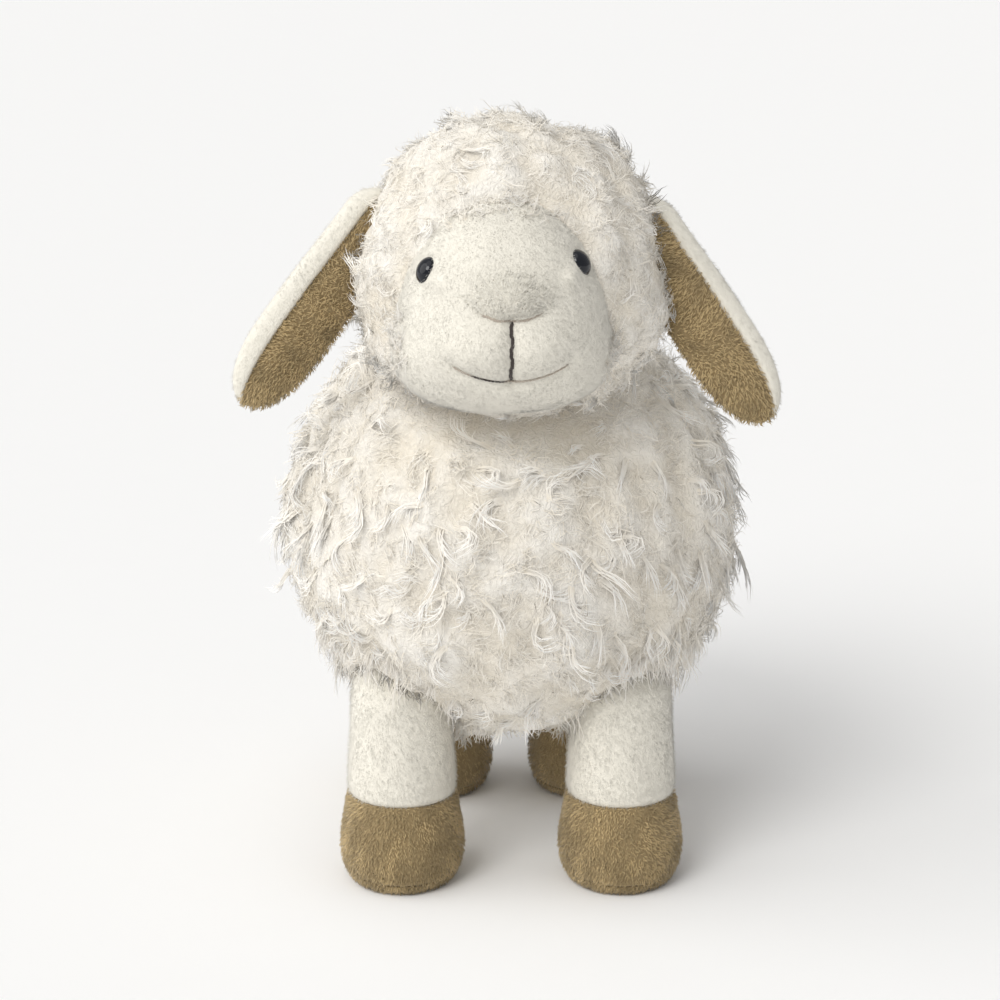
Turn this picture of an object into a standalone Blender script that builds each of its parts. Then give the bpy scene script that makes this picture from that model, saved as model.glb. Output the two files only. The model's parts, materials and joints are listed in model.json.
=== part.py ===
"""A standing plush sheep, 28 cm tall: its sewn covers, the filling inside them and its plastic eyes.

Lengths are in metres, +Z is up and the sheep looks towards -Y, so its own left side is at +X.
Every piece is a closed solid. A wool cover is as thick as its pile, a short-pile cover as thick as the
plush cloth, and the filling lies inside. Where the cloth bends, a round root on the moving piece turns
in a seat: a ball for the neck, each leg and the tail, and a slot for each ear.
"""

import math

import bmesh
import bpy
from mathutils import Matrix, Vector
from mathutils.bvhtree import BVHTree

# Clearances
SEAM_GAP = 0.0003
JOINT_GAP = 0.0006
CUT_OVERRUN = 0.010

# Cloth
BODY_WOOL = 0.014
HEAD_WOOL = 0.009
PLUSH = 0.0025

# Body
BODY_HALF_WIDTH = 0.083
BODY_HALF_LENGTH = 0.096
BODY_RISE = 0.083
BODY_DROP = 0.075
BODY_HEIGHT = 0.117
BODY_FULLNESS = 2.1

# Head, placed from the middle of the body
HEAD_HALF_WIDTH = 0.056
HEAD_HALF_LENGTH = 0.046
HEAD_RISE = 0.062
HEAD_DROP = 0.046
HEAD_FORWARD = 0.049
HEAD_LIFT = 0.098
HEAD_FULLNESS = 2.1

# Face, placed from the middle of the head
FACE_HALF_WIDTH = 0.0365
FACE_HALF_LENGTH = 0.042
FACE_RISE = 0.041
FACE_DROP = 0.034
FACE_FORWARD = 0.021
FACE_BELOW_HEAD = 0.002
FACE_ASIDE = 0.0035
FACE_TURN_DEG = 4.5
FACE_FULLNESS = 2.4
BROW_NARROWING_SHARE = 0.25
MUZZLE_SWELL_SHARE = 0.07
MUZZLE_PLACE_SHARE = -0.15
MUZZLE_SPREAD_SHARE = 0.42

# Neck
NECK_RADIUS = 0.022
NECK_BELOW_HEAD = 0.034
NOD_ROOM_DEG = 9.5

# Embroidery on the face, heights from the middle of the face
THREAD_RADIUS = 0.0006
NOSE_HEIGHT = 0.0075
NOSE_HALF_WIDTH = 0.0100
NOSE_DIP = 0.0024
MOUTH_HEIGHT = -0.0155
MOUTH_HALF_WIDTH = 0.0190
MOUTH_DIP = 0.0050

# Plastic eyes, placed from the middle of the face
EYE_RADIUS = 0.0048
EYE_DOME = 0.0036
EYE_SPREAD_LEFT = 0.0242
EYE_SPREAD_RIGHT = 0.0265
EYE_HEIGHT_LEFT = 0.0203
EYE_HEIGHT_RIGHT = 0.0186
SHANK_RADIUS = 0.0015
SHANK_LENGTH = 0.0085
WASHER_RADIUS = 0.0055
WASHER_THICKNESS = 0.0014
WASHER_SINK = 0.0015

# Ears, placed from the middle of the head
EAR_LENGTH = 0.077
EAR_HALF_WIDTH = 0.0132
EAR_HALF_DEPTH = 0.0049
EAR_ROOT_RADIUS = 0.0120
EAR_TIP_ROUND = 0.030
EAR_ABOVE_HEAD_LEFT = 0.0200
EAR_ABOVE_HEAD_RIGHT = 0.0235
EAR_BEHIND_HEAD = 0.000
EAR_SINK_LEFT = 0.0058
EAR_SINK_RIGHT = 0.0040
EAR_SPLAY_LEFT_DEG = 33.5
EAR_SPLAY_RIGHT_DEG = 36.2
EAR_FORWARD_DEG = 7.0
EAR_TURN_LEFT_DEG = -15.0
EAR_TURN_RIGHT_DEG = 18.0
EAR_DROP_DEG = 14.0
EAR_LIFT_DEG = 62.0
EAR_RIM_SHARE = 0.20
EAR_WIDEST_SHARE = 0.45
EAR_FULLNESS = 2.5
EAR_TIP_FULLNESS = 2.4
EAR_EDGE_FULLNESS = 4.0

# Legs and feet. The hips are placed from the middle of the body, and spread by shares of its half width
HIP_RADIUS = 0.0178
LEG_RADIUS = 0.0193
FOOT_HALF_WIDTH = 0.0215
FOOT_TOE = 0.0250
FOOT_HEEL = 0.0220
FOOT_HEIGHT = 0.0320
FOOT_BULGE_HEIGHT = 0.0130
FOOT_EDGE = 0.0060
SOLE_THICKNESS = 0.0040
PELLET_LEVEL = 0.0170
LEG_ROOM_DEG = 16.0
FRONT_SPREAD_SHARE = 0.472
FRONT_LEG_FORWARD = 0.0500
FRONT_HIP_DROP = 0.0500
HIND_SPREAD_SHARE = 0.350
HIND_LEG_BACK = 0.0430
HIND_HIP_DROP = 0.0610

# Tail, placed from the middle of the body
TAIL_LENGTH = 0.036
TAIL_HALF_WIDTH = 0.0125
TAIL_ROOT_RADIUS = 0.0085
TAIL_WOOL = 0.0035
TAIL_ABOVE_BODY = 0.014
TAIL_SLANT_DEG = 48.0
TAIL_ROOM_DEG = 48.0
TAIL_WIDEST_SHARE = 0.5
TAIL_ROOT_DEG = -60.0
TAIL_FLARE_DEG = 25.0

# Facets
BODY_FACETS = (26, 14)
HEAD_FACETS = (22, 12)
FACE_FACETS = (24, 14)
NECK_FACETS = 18
LEG_FACETS = 14
TAIL_FACETS = 12
EYE_FACETS = 14
EAR_FACETS = 14
THREAD_FACETS = 6
DOME_STEPS = 4
LIMB_STEPS = 3
FOOT_STEPS = 2
TAIL_STEPS = 6
EAR_STEPS = 9
STITCH_STEPS = 8

# The body lies where the muzzle and the tail reach equally far from the origin
MUZZLE_REACH = HEAD_FORWARD + FACE_FORWARD + FACE_HALF_LENGTH * (1 + MUZZLE_SWELL_SHARE)
TAIL_SLANT = math.radians(TAIL_SLANT_DEG)
TAIL_REACH = BODY_HALF_LENGTH + TAIL_LENGTH * math.sin(TAIL_SLANT) + TAIL_HALF_WIDTH * math.cos(TAIL_SLANT) / 2
BODY_CENTRE = Vector((0.0, (MUZZLE_REACH - TAIL_REACH) / 2, BODY_HEIGHT))
HEAD_CENTRE = BODY_CENTRE + Vector((0.0, -HEAD_FORWARD, HEAD_LIFT))
FACE_CENTRE = HEAD_CENTRE + Vector((-FACE_ASIDE, -FACE_FORWARD, -FACE_BELOW_HEAD))
FACE_TURN = Matrix.Rotation(math.radians(FACE_TURN_DEG), 3, "Z")
NECK_AXIS = (HEAD_CENTRE - BODY_CENTRE).normalized()
NECK_PIVOT = HEAD_CENTRE - NECK_AXIS * NECK_BELOW_HEAD
SIDES = {"left": 1, "right": -1}
EYE_SPREADS = {"left": EYE_SPREAD_LEFT, "right": EYE_SPREAD_RIGHT}
EYE_HEIGHTS = {"left": EYE_HEIGHT_LEFT, "right": EYE_HEIGHT_RIGHT}
EAR_HEIGHTS = {"left": EAR_ABOVE_HEAD_LEFT, "right": EAR_ABOVE_HEAD_RIGHT}
EAR_SINKS = {"left": EAR_SINK_LEFT, "right": EAR_SINK_RIGHT}
EAR_SPLAYS_DEG = {"left": EAR_SPLAY_LEFT_DEG, "right": EAR_SPLAY_RIGHT_DEG}
EAR_TURNS_DEG = {"left": EAR_TURN_LEFT_DEG, "right": EAR_TURN_RIGHT_DEG}

FINISHES = {
    "cream_wool": ((0.84, 0.80, 0.73), 0.95),
    "cream_plush": ((0.86, 0.81, 0.72), 0.90),
    "tan_plush": ((0.38, 0.27, 0.13), 0.90),
    "white_fibre": ((0.90, 0.90, 0.89), 1.00),
    "pellet_cloth": ((0.70, 0.70, 0.68), 0.85),
    "black_plastic": ((0.008, 0.009, 0.012), 0.10),
    "clear_plastic": ((0.75, 0.75, 0.73), 0.40),
    "dark_thread": ((0.045, 0.040, 0.035), 0.80),
    "taupe_thread": ((0.28, 0.23, 0.19), 0.80),
}


def clear_scene():
    for obj in list(bpy.data.objects):
        bpy.data.objects.remove(obj)


def finish_material(name):
    material = bpy.data.materials.get(name)
    if material:
        return material
    colour, roughness = FINISHES[name]
    material = bpy.data.materials.new(name)
    material.use_nodes = True
    shader = material.node_tree.nodes["Principled BSDF"]
    shader.inputs["Base Color"].default_value = (*colour, 1.0)
    shader.inputs["Roughness"].default_value = roughness
    shader.inputs["Metallic"].default_value = 0.0
    return material


def add_solid(name, bm, finish=None):
    """Makes an object of a closed mesh. Without a finish it is a cutter, which is no part of the toy."""
    bmesh.ops.recalc_face_normals(bm, faces=bm.faces[:])
    mesh = bpy.data.meshes.new(name)
    bm.to_mesh(mesh)
    bm.free()
    mesh.shade_smooth()
    mesh.set_sharp_from_angle(angle=math.radians(40))
    obj = bpy.data.objects.new(name, mesh)
    bpy.context.scene.collection.objects.link(obj)
    if finish:
        mesh.materials.append(finish_material(finish))
    else:
        obj.hide_render = True
        obj.display_type = "WIRE"
    return obj


def carve(obj, *cutters):
    for cutter in cutters:
        cut = obj.modifiers.new("cut_" + cutter.name, "BOOLEAN")
        cut.operation = "DIFFERENCE"
        cut.object = cutter
    return obj


def join(obj, other):
    both = obj.modifiers.new("join_" + other.name, "BOOLEAN")
    both.operation = "UNION"
    both.object = other
    return obj


def keep(obj, space):
    inside = obj.modifiers.new("keep_" + space.name, "BOOLEAN")
    inside.operation = "INTERSECT"
    inside.object = space
    return obj


def pivot(name, place, parent=None):
    """An empty on a joint's axis. What moves there is parented to it."""
    empty = bpy.data.objects.new(name, None)
    bpy.context.scene.collection.objects.link(empty)
    empty.parent = parent
    empty.location = place - (parent.matrix_world.translation if parent else Vector())
    bpy.context.view_layer.update()
    return empty


def hang(empty, *objects):
    """Parents objects to a pivot, with their own origin there."""
    place = empty.matrix_world.translation
    for obj in objects:
        obj.data.transform(Matrix.Translation(-place))
        obj.parent = empty


def mix(start, end, share):
    return start + (end - start) * share


def smooth_step(share):
    share = min(1.0, max(0.0, share))
    return share * share * (3 - 2 * share)


def steps(start, end, count):
    return [mix(start, end, i / count) for i in range(count + 1)]


def arc(radius, start_deg, end_deg, count):
    """(radius, height) points of an arc about the origin, by the angle above its equator."""
    points = []
    for turn in steps(math.radians(start_deg), math.radians(end_deg), count):
        across = radius * math.cos(turn)
        points.append((0.0 if across < radius / 1e6 else across, radius * math.sin(turn)))
    return points


def skin(name, rings, finish=None, loop=False):
    """A closed surface through rings of points. A ring of one point is a pole, and an open end is capped."""
    bm = bmesh.new()
    made = [[bm.verts.new(point) for point in ring] for ring in rings]
    pairs = list(zip(made, made[1:]))
    if loop:
        pairs.append((made[-1], made[0]))
    for lower, upper in pairs:
        count = max(len(lower), len(upper))
        for i in range(count):
            j = (i + 1) % count
            corners = [lower[i % len(lower)], lower[j % len(lower)]]
            corners += [upper[j % len(upper)], upper[i % len(upper)]]
            bm.faces.new(list(dict.fromkeys(corners)))
    for ring in () if loop else (made[0], made[-1]):
        if len(ring) > 1:
            bm.faces.new(ring)
    return add_solid(name, bm, finish)


def circles(profile, facets, place):
    """Rings about the Z axis of a matrix through (radius, height) points. A radius of zero is a pole."""
    rings = []
    for radius, height in profile:
        turns = [math.tau * i / facets for i in range(facets)] if radius else [0.0]
        rings.append([place @ Vector((radius * math.cos(t), radius * math.sin(t), height)) for t in turns])
    return rings


def revolve(name, profile, facets, place, finish=None):
    return skin(name, circles(profile, facets, place), finish)


def aim(place, direction):
    """The matrix at a place whose Z axis points along a direction."""
    return Matrix.Translation(place) @ direction.to_track_quat("Z", "Y").to_matrix().to_4x4()


class StuffedForm:
    """A rounded stuffed shape with its own reach along each way. A fullness over 2 is rounder than a ball."""

    def __init__(self, centre, half_width, half_length, rise, drop, fullness, facets):
        self.centre = centre
        self.half_width = half_width
        self.half_length = half_length
        self.rise = rise
        self.drop = drop
        self.fullness = fullness
        self.facets = facets

    def shape_shares(self, unit):
        """Shares by which the form is wider and longer at a point of the unit shape."""
        return 1.0, 1.0

    def point(self, direction, grow=0.0):
        reach = sum(abs(c) ** self.fullness for c in direction) ** (-1 / self.fullness)
        unit = direction * reach
        wider, longer = self.shape_shares(unit)
        across = unit.x * (self.half_width * wider + grow)
        along = unit.y * (self.half_length * longer + grow)
        up = unit.z * ((self.rise if unit.z > 0 else self.drop) + grow)
        return self.centre + Vector((across, along, up))

    def solid(self, name, grow=0.0, finish=None):
        around, over = self.facets
        bm = bmesh.new()
        bmesh.ops.create_uvsphere(bm, u_segments=around, v_segments=over, radius=1.0)
        for vert in bm.verts:
            vert.co = self.point(vert.co.normalized(), grow)
        return add_solid(name, bm, finish)


class FaceForm(StuffedForm):
    """The face: narrower at the brow than at the cheeks, with the muzzle pushed forward."""

    def shape_shares(self, unit):
        above_muzzle = (unit.z - MUZZLE_PLACE_SHARE) / MUZZLE_SPREAD_SHARE
        swell = MUZZLE_SWELL_SHARE * math.exp(-(above_muzzle**2)) if unit.y < 0 else 0.0
        return 1.0 - BROW_NARROWING_SHARE * unit.z, 1.0 + swell

    def point(self, direction, grow=0.0):
        return self.centre + FACE_TURN @ (super().point(direction, grow) - self.centre)


def on_face(face_surface, across, height):
    """The point of the face's front, across and up from its middle."""
    start = FACE_CENTRE + FACE_TURN @ Vector((across, -BODY_HALF_LENGTH, height))
    return face_surface.ray_cast(start, FACE_TURN @ Vector((0.0, 1.0, 0.0)))[0]


BODY = StuffedForm(
    BODY_CENTRE, BODY_HALF_WIDTH, BODY_HALF_LENGTH, BODY_RISE, BODY_DROP, BODY_FULLNESS, BODY_FACETS
)
HEAD = StuffedForm(
    HEAD_CENTRE, HEAD_HALF_WIDTH, HEAD_HALF_LENGTH, HEAD_RISE, HEAD_DROP, HEAD_FULLNESS, HEAD_FACETS
)
FACE = FaceForm(
    FACE_CENTRE, FACE_HALF_WIDTH, FACE_HALF_LENGTH, FACE_RISE, FACE_DROP, FACE_FULLNESS, FACE_FACETS
)


def surface_tree(obj):
    bm = bmesh.new()
    bm.from_mesh(obj.data)
    tree = BVHTree.FromBMesh(bm)
    bm.free()
    return tree


def build_neck():
    """The stuffed neck: a ball that nods in the body and that the head turns on."""
    place = aim(NECK_PIVOT, NECK_AXIS)
    half_turn = (-90, 90, NECK_FACETS // 2)
    neck = revolve("neck_stuffing", arc(NECK_RADIUS, *half_turn), NECK_FACETS, place, "white_fibre")
    seat = revolve("cutter_neck_seat", arc(NECK_RADIUS + JOINT_GAP, *half_turn), NECK_FACETS, place)
    reach = BODY_HALF_WIDTH + BODY_HALF_LENGTH
    nod_room = reach * math.tan(math.radians(NOD_ROOM_DEG))
    under_head = [(0.0, -reach), (reach, -reach), (reach, nod_room), (0.0, 0.0)]
    over_body = [(0.0, 0.0), (reach, 0.0), (reach, reach), (0.0, reach)]
    head_cut = revolve("cutter_under_head", under_head, NECK_FACETS, place)
    body_cut = revolve("cutter_over_body", over_body, NECK_FACETS, place)
    return neck, seat, head_cut, body_cut


def limb_reach(hip, height):
    """Half width, toe and heel of the leg and foot at a height above the floor."""
    leg = mix(LEG_RADIUS, HIP_RADIUS, smooth_step((height - FOOT_HEIGHT) / (hip.z - FOOT_HEIGHT)))
    slimming = smooth_step((height - FOOT_BULGE_HEIGHT) / (FOOT_HEIGHT - FOOT_BULGE_HEIGHT))
    under = max(0.0, 1 - height / FOOT_BULGE_HEIGHT)
    tuck = FOOT_EDGE * (1 - math.sqrt(1 - under * under))
    return [mix(size, leg, slimming) - tuck for size in (FOOT_HALF_WIDTH, FOOT_TOE, FOOT_HEEL)]


def limb_rings(hip, heights, grow=0.0):
    rings = []
    for height in heights:
        across, toe, heel = (size + grow for size in limb_reach(hip, height))
        ring = []
        for i in range(LEG_FACETS):
            turn = math.tau * i / LEG_FACETS
            along = (toe if math.sin(turn) < 0 else heel) * math.sin(turn)
            ring.append(Vector((hip.x + across * math.cos(turn), hip.y + along, height)))
        rings.append(ring)
    return rings


def hip_dome(hip, grow=0.0):
    """Rings of the round top of a leg, from its widest ring to its pole."""
    return circles(arc(HIP_RADIUS + grow, 0, 90, DOME_STEPS), LEG_FACETS, Matrix.Translation(hip))


def under_heights(low, high, count):
    """Heights between two levels, closer together near the floor, where the foot curves under."""
    lowest, highest = math.sqrt(low / FOOT_HEIGHT), math.sqrt(high / FOOT_HEIGHT)
    return [FOOT_HEIGHT * share**2 for share in steps(lowest, highest, count)]


def build_leg(place, hip):
    """A stuffed leg: cream tube, tan foot cover and sole, filling, and a pouch of pellets in the foot."""
    inside = -(PLUSH + SEAM_GAP)
    seam = FOOT_HEIGHT
    tube = steps(seam + SEAM_GAP / 2, hip.z, LIMB_STEPS)[:-1]
    outer = limb_rings(hip, tube) + hip_dome(hip)
    lining = limb_rings(hip, tube, -PLUSH) + hip_dome(hip, -PLUSH)
    cover = skin("leg_cover_" + place, lining[::-1] + outer, "cream_plush")

    low_walls = under_heights(SOLE_THICKNESS + SEAM_GAP, PELLET_LEVEL, FOOT_STEPS)
    high_walls = steps(PELLET_LEVEL, seam - SEAM_GAP / 2, FOOT_STEPS)[1:]
    walls = low_walls + high_walls
    outer = limb_rings(hip, walls)
    lining = limb_rings(hip, walls, -PLUSH)
    foot = skin("foot_cover_" + place, outer + lining[::-1], "tan_plush", loop=True)

    edge = [0.0, *under_heights(SOLE_THICKNESS / FOOT_STEPS, SOLE_THICKNESS, 1)]
    sole = skin("foot_sole_" + place, limb_rings(hip, edge), "tan_plush")

    pouch = skin("foot_pellets_" + place, limb_rings(hip, low_walls, inside), "pellet_cloth")

    shin = [PELLET_LEVEL + SEAM_GAP, *high_walls, *steps(seam, hip.z, LIMB_STEPS)[1:-1]]
    filling_rings = limb_rings(hip, shin, inside) + hip_dome(hip, inside)
    filling = skin("leg_stuffing_" + place, filling_rings, "white_fibre")

    wide = LEG_RADIUS + JOINT_GAP + hip.z * math.tan(math.radians(LEG_ROOM_DEG))
    bell = [(0.0, -hip.z), (wide, -hip.z), *arc(HIP_RADIUS + JOINT_GAP, 0, 90, DOME_STEPS)]
    seat = revolve("cutter_hip_" + place, bell, LEG_FACETS, Matrix.Translation(hip))
    return (cover, foot, sole, filling, pouch), seat


def leg_hips():
    hips = {}
    for side, sign in SIDES.items():
        front = (sign * BODY_HALF_WIDTH * FRONT_SPREAD_SHARE, -FRONT_LEG_FORWARD, -FRONT_HIP_DROP)
        hind = (sign * BODY_HALF_WIDTH * HIND_SPREAD_SHARE, HIND_LEG_BACK, -HIND_HIP_DROP)
        hips["front_" + side] = BODY_CENTRE + Vector(front)
        hips["hind_" + side] = BODY_CENTRE + Vector(hind)
    return hips


def tail_profile(grow=0.0):
    """(radius, height) points of the tail from its open root to its tip."""
    root = TAIL_ROOT_RADIUS + grow
    start = root * math.sin(math.radians(TAIL_FLARE_DEG))
    length = TAIL_LENGTH + grow
    points = arc(root, TAIL_ROOT_DEG, TAIL_FLARE_DEG, DOME_STEPS)
    slim = points[-1][0]
    for share in steps(0, 1, TAIL_STEPS)[1:]:
        swell = smooth_step(share / TAIL_WIDEST_SHARE)
        tip = max(0.0, (share - TAIL_WIDEST_SHARE) / (1 - TAIL_WIDEST_SHARE))
        radius = mix(slim, TAIL_HALF_WIDTH + grow, swell) * math.sqrt(1 - tip * tip)
        points.append((radius, mix(start, length, math.sin(share * math.pi / 2))))
    return points


def build_tail(body_surface):
    """A short woolly tail whose round root turns in a seat in the rump."""
    from_inside = BODY_CENTRE + Vector((0.0, 0.0, TAIL_ABOVE_BODY))
    seat_point = body_surface.ray_cast(from_inside, Vector((0.0, 1.0, 0.0)))[0]
    place = aim(seat_point, Vector((0.0, math.sin(TAIL_SLANT), -math.cos(TAIL_SLANT))))
    cover_points = tail_profile(-TAIL_WOOL)[::-1] + tail_profile()
    cover = revolve("tail_fleece", cover_points, TAIL_FACETS, place, "cream_wool")
    filling_points = tail_profile(-TAIL_WOOL - SEAM_GAP)
    filling = revolve("tail_stuffing", filling_points, TAIL_FACETS, place, "white_fibre")
    reach = TAIL_LENGTH + CUT_OVERRUN
    wide = TAIL_ROOT_RADIUS + JOINT_GAP + reach * math.tan(math.radians(TAIL_ROOM_DEG))
    cone = [*arc(TAIL_ROOT_RADIUS + JOINT_GAP, -90, 0, DOME_STEPS), (wide, reach), (0.0, reach)]
    seat = revolve("cutter_tail_seat", cone, TAIL_FACETS, place)
    return (cover, filling), seat, seat_point


def ear_place(side, sign, head_surface):
    """The ear's matrix on its pivot: Z to the tip, X to the outer edge and -Y out of the tan face."""
    level = HEAD_CENTRE + Vector((0.0, EAR_BEHIND_HEAD, EAR_HEIGHTS[side]))
    place = head_surface.ray_cast(level, Vector((float(sign), 0.0, 0.0)))[0]
    place.x -= sign * EAR_SINKS[side]
    splay, forward = math.radians(EAR_SPLAYS_DEG[side]), math.radians(EAR_FORWARD_DEG)
    tip_way = Vector((sign * math.sin(splay), -math.sin(forward), -math.cos(splay))).normalized()
    outward = Vector((0.0, -1.0, 0.0)).cross(tip_way).normalized() * sign
    turn = Matrix.Rotation(sign * math.radians(EAR_TURNS_DEG[side]), 3, tip_way)
    outward = (turn @ outward).normalized()
    back = outward.cross(tip_way).normalized() * sign
    frame = Matrix((outward, back, tip_way)).transposed().to_4x4()
    return Matrix.Translation(place) @ frame


def ear_section(along, grow=0.0):
    """Half width and half depth of the ear at a distance from its pivot towards the tip."""
    if along < 0:
        root = EAR_ROOT_RADIUS + grow
        end = min(1.0, -along / root)
        width = root * math.sqrt(1 - end * end)
        return width, (EAR_HALF_DEPTH + grow) * math.sqrt(1 - end**EAR_EDGE_FULLNESS)
    length = EAR_LENGTH + grow
    share = along / length
    width = mix(EAR_ROOT_RADIUS, EAR_HALF_WIDTH, smooth_step(share / EAR_WIDEST_SHARE)) + grow
    end = max(0.0, 1 - (length - along) / EAR_TIP_ROUND)
    thinning = math.sqrt(1 - end**EAR_EDGE_FULLNESS)
    return width * math.sqrt(1 - end**EAR_TIP_FULLNESS), (EAR_HALF_DEPTH + grow) * thinning


def ear_levels(grow=0.0):
    """Distances along the ear from the pole behind its pivot to its tip, closer together at both ends."""
    low, high = -(EAR_ROOT_RADIUS + grow), EAR_LENGTH + grow
    return [mix(low, high, (1 - math.cos(math.pi * share)) / 2) for share in steps(0, 1, EAR_STEPS)]


def ear_rings(place, grow=0.0):
    rings = []
    levels = ear_levels(grow)
    for along in levels:
        if along in (levels[0], levels[-1]):
            rings.append([place @ Vector((0.0, 0.0, along))])
            continue
        width, depth = ear_section(along, grow)
        ring = []
        for i in range(EAR_FACETS):
            turn = math.tau * i / EAR_FACETS
            full = (abs(math.cos(turn)) ** EAR_FULLNESS + abs(math.sin(turn)) ** EAR_FULLNESS) ** (
                -1 / EAR_FULLNESS
            )
            across, up = width * full * math.cos(turn), depth * full * math.sin(turn)
            ring.append(place @ Vector((across, up, along)))
        rings.append(ring)
    return rings


def ear_front(name, place, grow):
    """The space in front of an ear's middle, as far out as the seam where the cream rim wraps round."""
    levels = ear_levels()[1:-1]
    widths = [ear_section(level)[0] for level in levels]
    levels = [-EAR_ROOT_RADIUS - CUT_OVERRUN, *levels, EAR_LENGTH + CUT_OVERRUN]
    reach = EAR_HALF_WIDTH + CUT_OVERRUN
    rings = []
    for level, width in zip(levels, (widths[0], *widths, widths[-1])):
        seam = width * (1 - 2 * EAR_RIM_SHARE) + grow
        corners = [(-reach, -reach), (seam, -reach), (seam, grow), (-reach, grow)]
        rings.append([place @ Vector((x, y, level)) for x, y in corners])
    return skin(name, rings)


def ear_seat(name, place):
    """The slot that the ear's round root turns in, open wherever the ear sweeps as it lifts and drops."""
    radius, reach = EAR_ROOT_RADIUS + JOINT_GAP, EAR_LENGTH + JOINT_GAP
    width = max(EAR_HALF_WIDTH, EAR_ROOT_RADIUS) + JOINT_GAP
    lowest, highest = -EAR_DROP_DEG, EAR_LIFT_DEG
    outline = []
    for turn in steps(highest + 90, lowest + 270, 2 * DOME_STEPS):
        outline.append((radius * math.sin(math.radians(turn)), radius * math.cos(math.radians(turn))))
    for turn in steps(lowest, highest, DOME_STEPS):
        across, along = math.sin(math.radians(turn)), math.cos(math.radians(turn))
        side = width if turn == highest else -width if turn == lowest else 0.0
        outline.append((reach * across + side * along, reach * along - side * across))
    depth = EAR_HALF_DEPTH + JOINT_GAP
    rings = [[place @ Vector((x, y, z)) for x, z in outline] for y in (-depth, depth)]
    return skin(name, rings)


def build_ear(side, place):
    """A floppy ear: cream back that wraps round to the outer rim, tan face, and wadding between them."""
    lining = skin("cutter_ear_lining_" + side, ear_rings(place, -PLUSH))
    outer = skin("ear_outer_" + side, ear_rings(place), "cream_plush")
    carve(outer, lining, ear_front("cutter_ear_front_" + side, place, SEAM_GAP / 2))
    inner = skin("ear_inner_" + side, ear_rings(place), "tan_plush")
    carve(inner, lining)
    keep(inner, ear_front("kept_ear_front_" + side, place, -SEAM_GAP / 2))
    wadding = skin("ear_wadding_" + side, ear_rings(place, -PLUSH - SEAM_GAP), "white_fibre")
    return outer, inner, wadding


def build_eye(side, sign, face_surface):
    """A safety eye: a glossy dome on a shank, and the washer that holds it behind the cloth."""
    spread, height = sign * EYE_SPREADS[side], EYE_HEIGHTS[side]
    near = EYE_RADIUS / 2
    around = [on_face(face_surface, spread + across, height) for across in (-near, near)]
    around += [on_face(face_surface, spread, height + up) for up in (-near, near)]
    outward = (around[1] - around[0]).cross(around[3] - around[2]).normalized()
    place = aim(on_face(face_surface, spread, height) + outward * SEAM_GAP, outward)

    near = -(PLUSH + WASHER_SINK)
    far = near - WASHER_THICKNESS

    def profile(grow=0.0, washer=()):
        ball = (EYE_RADIUS**2 + EYE_DOME**2) / (2 * EYE_DOME)
        rim_deg = math.degrees(math.asin((ball - EYE_DOME) / ball))
        dome = [(r, h + EYE_DOME - ball) for r, h in arc(ball + grow, rim_deg, 90, DOME_STEPS)]
        shank, end = SHANK_RADIUS + grow, -SHANK_LENGTH - grow
        return [(0.0, end), (shank, end), *washer, (shank, -grow), (dome[0][0], -grow), *dome]

    eye = revolve("eye_" + side, profile(), EYE_FACETS, place, "black_plastic")
    eye_room = revolve("cutter_eye_" + side, profile(SEAM_GAP), EYE_FACETS, place)
    bore, wide = SHANK_RADIUS + SEAM_GAP, WASHER_RADIUS + SEAM_GAP
    below, above = far - SEAM_GAP, near + SEAM_GAP
    slot = [(bore, below), (wide, below), (wide, above), (bore, above)]
    filling_room = revolve("cutter_eye_and_washer_" + side, profile(SEAM_GAP, slot), EYE_FACETS, place)

    section = [(bore, near), (WASHER_RADIUS, near), (WASHER_RADIUS, far), (bore, far)]
    washer = skin("eye_washer_" + side, circles(section, EYE_FACETS, place), "clear_plastic", loop=True)
    return (eye, washer), eye_room, filling_room


def thread(name, points, radius, finish=None):
    """A sewn thread through points, with blunt ends."""
    rings = []
    for i, point in enumerate(points):
        along = points[min(i + 1, len(points) - 1)] - points[max(i - 1, 0)]
        across = along.cross(Vector((0.0, 1.0, 0.0))).normalized()
        outward = across.cross(along).normalized()
        turns = [math.tau * j / THREAD_FACETS for j in range(THREAD_FACETS)]
        rings.append([point + radius * (across * math.cos(t) + outward * math.sin(t)) for t in turns])
    return skin(name, rings, finish)


def build_stitches(face_surface):
    """The embroidered nose line, lip line and mouth, each half sunk in the plush."""

    def lengthened(points, extra):
        first = (points[0] - points[1]).normalized() * extra
        last = (points[-1] - points[-2]).normalized() * extra
        return [points[0] + first, *points[1:-1], points[-1] + last]

    shares = steps(-1, 1, STITCH_STEPS)
    room = 2 * THREAD_RADIUS + SEAM_GAP
    lip_top, lip_end = NOSE_HEIGHT - NOSE_DIP - room, MOUTH_HEIGHT + room
    routes = {
        "nose_stitch": [(s * NOSE_HALF_WIDTH, NOSE_HEIGHT - NOSE_DIP * (1 - s * s)) for s in shares],
        "lip_stitch": [(0.0, height) for height in steps(lip_top, lip_end, STITCH_STEPS)],
        "mouth_stitch": [(s * MOUTH_HALF_WIDTH, MOUTH_HEIGHT + MOUTH_DIP * s * s) for s in shares],
    }
    stitches, grooves = [], []
    for name, route in routes.items():
        points = [on_face(face_surface, *place) for place in route]
        finish = "taupe_thread" if name == "nose_stitch" else "dark_thread"
        stitches.append(thread(name, points, THREAD_RADIUS, finish))
        groove = lengthened(points, SEAM_GAP)
        grooves.append(thread("cutter_" + name, groove, THREAD_RADIUS + SEAM_GAP))
    return stitches, grooves


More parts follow.
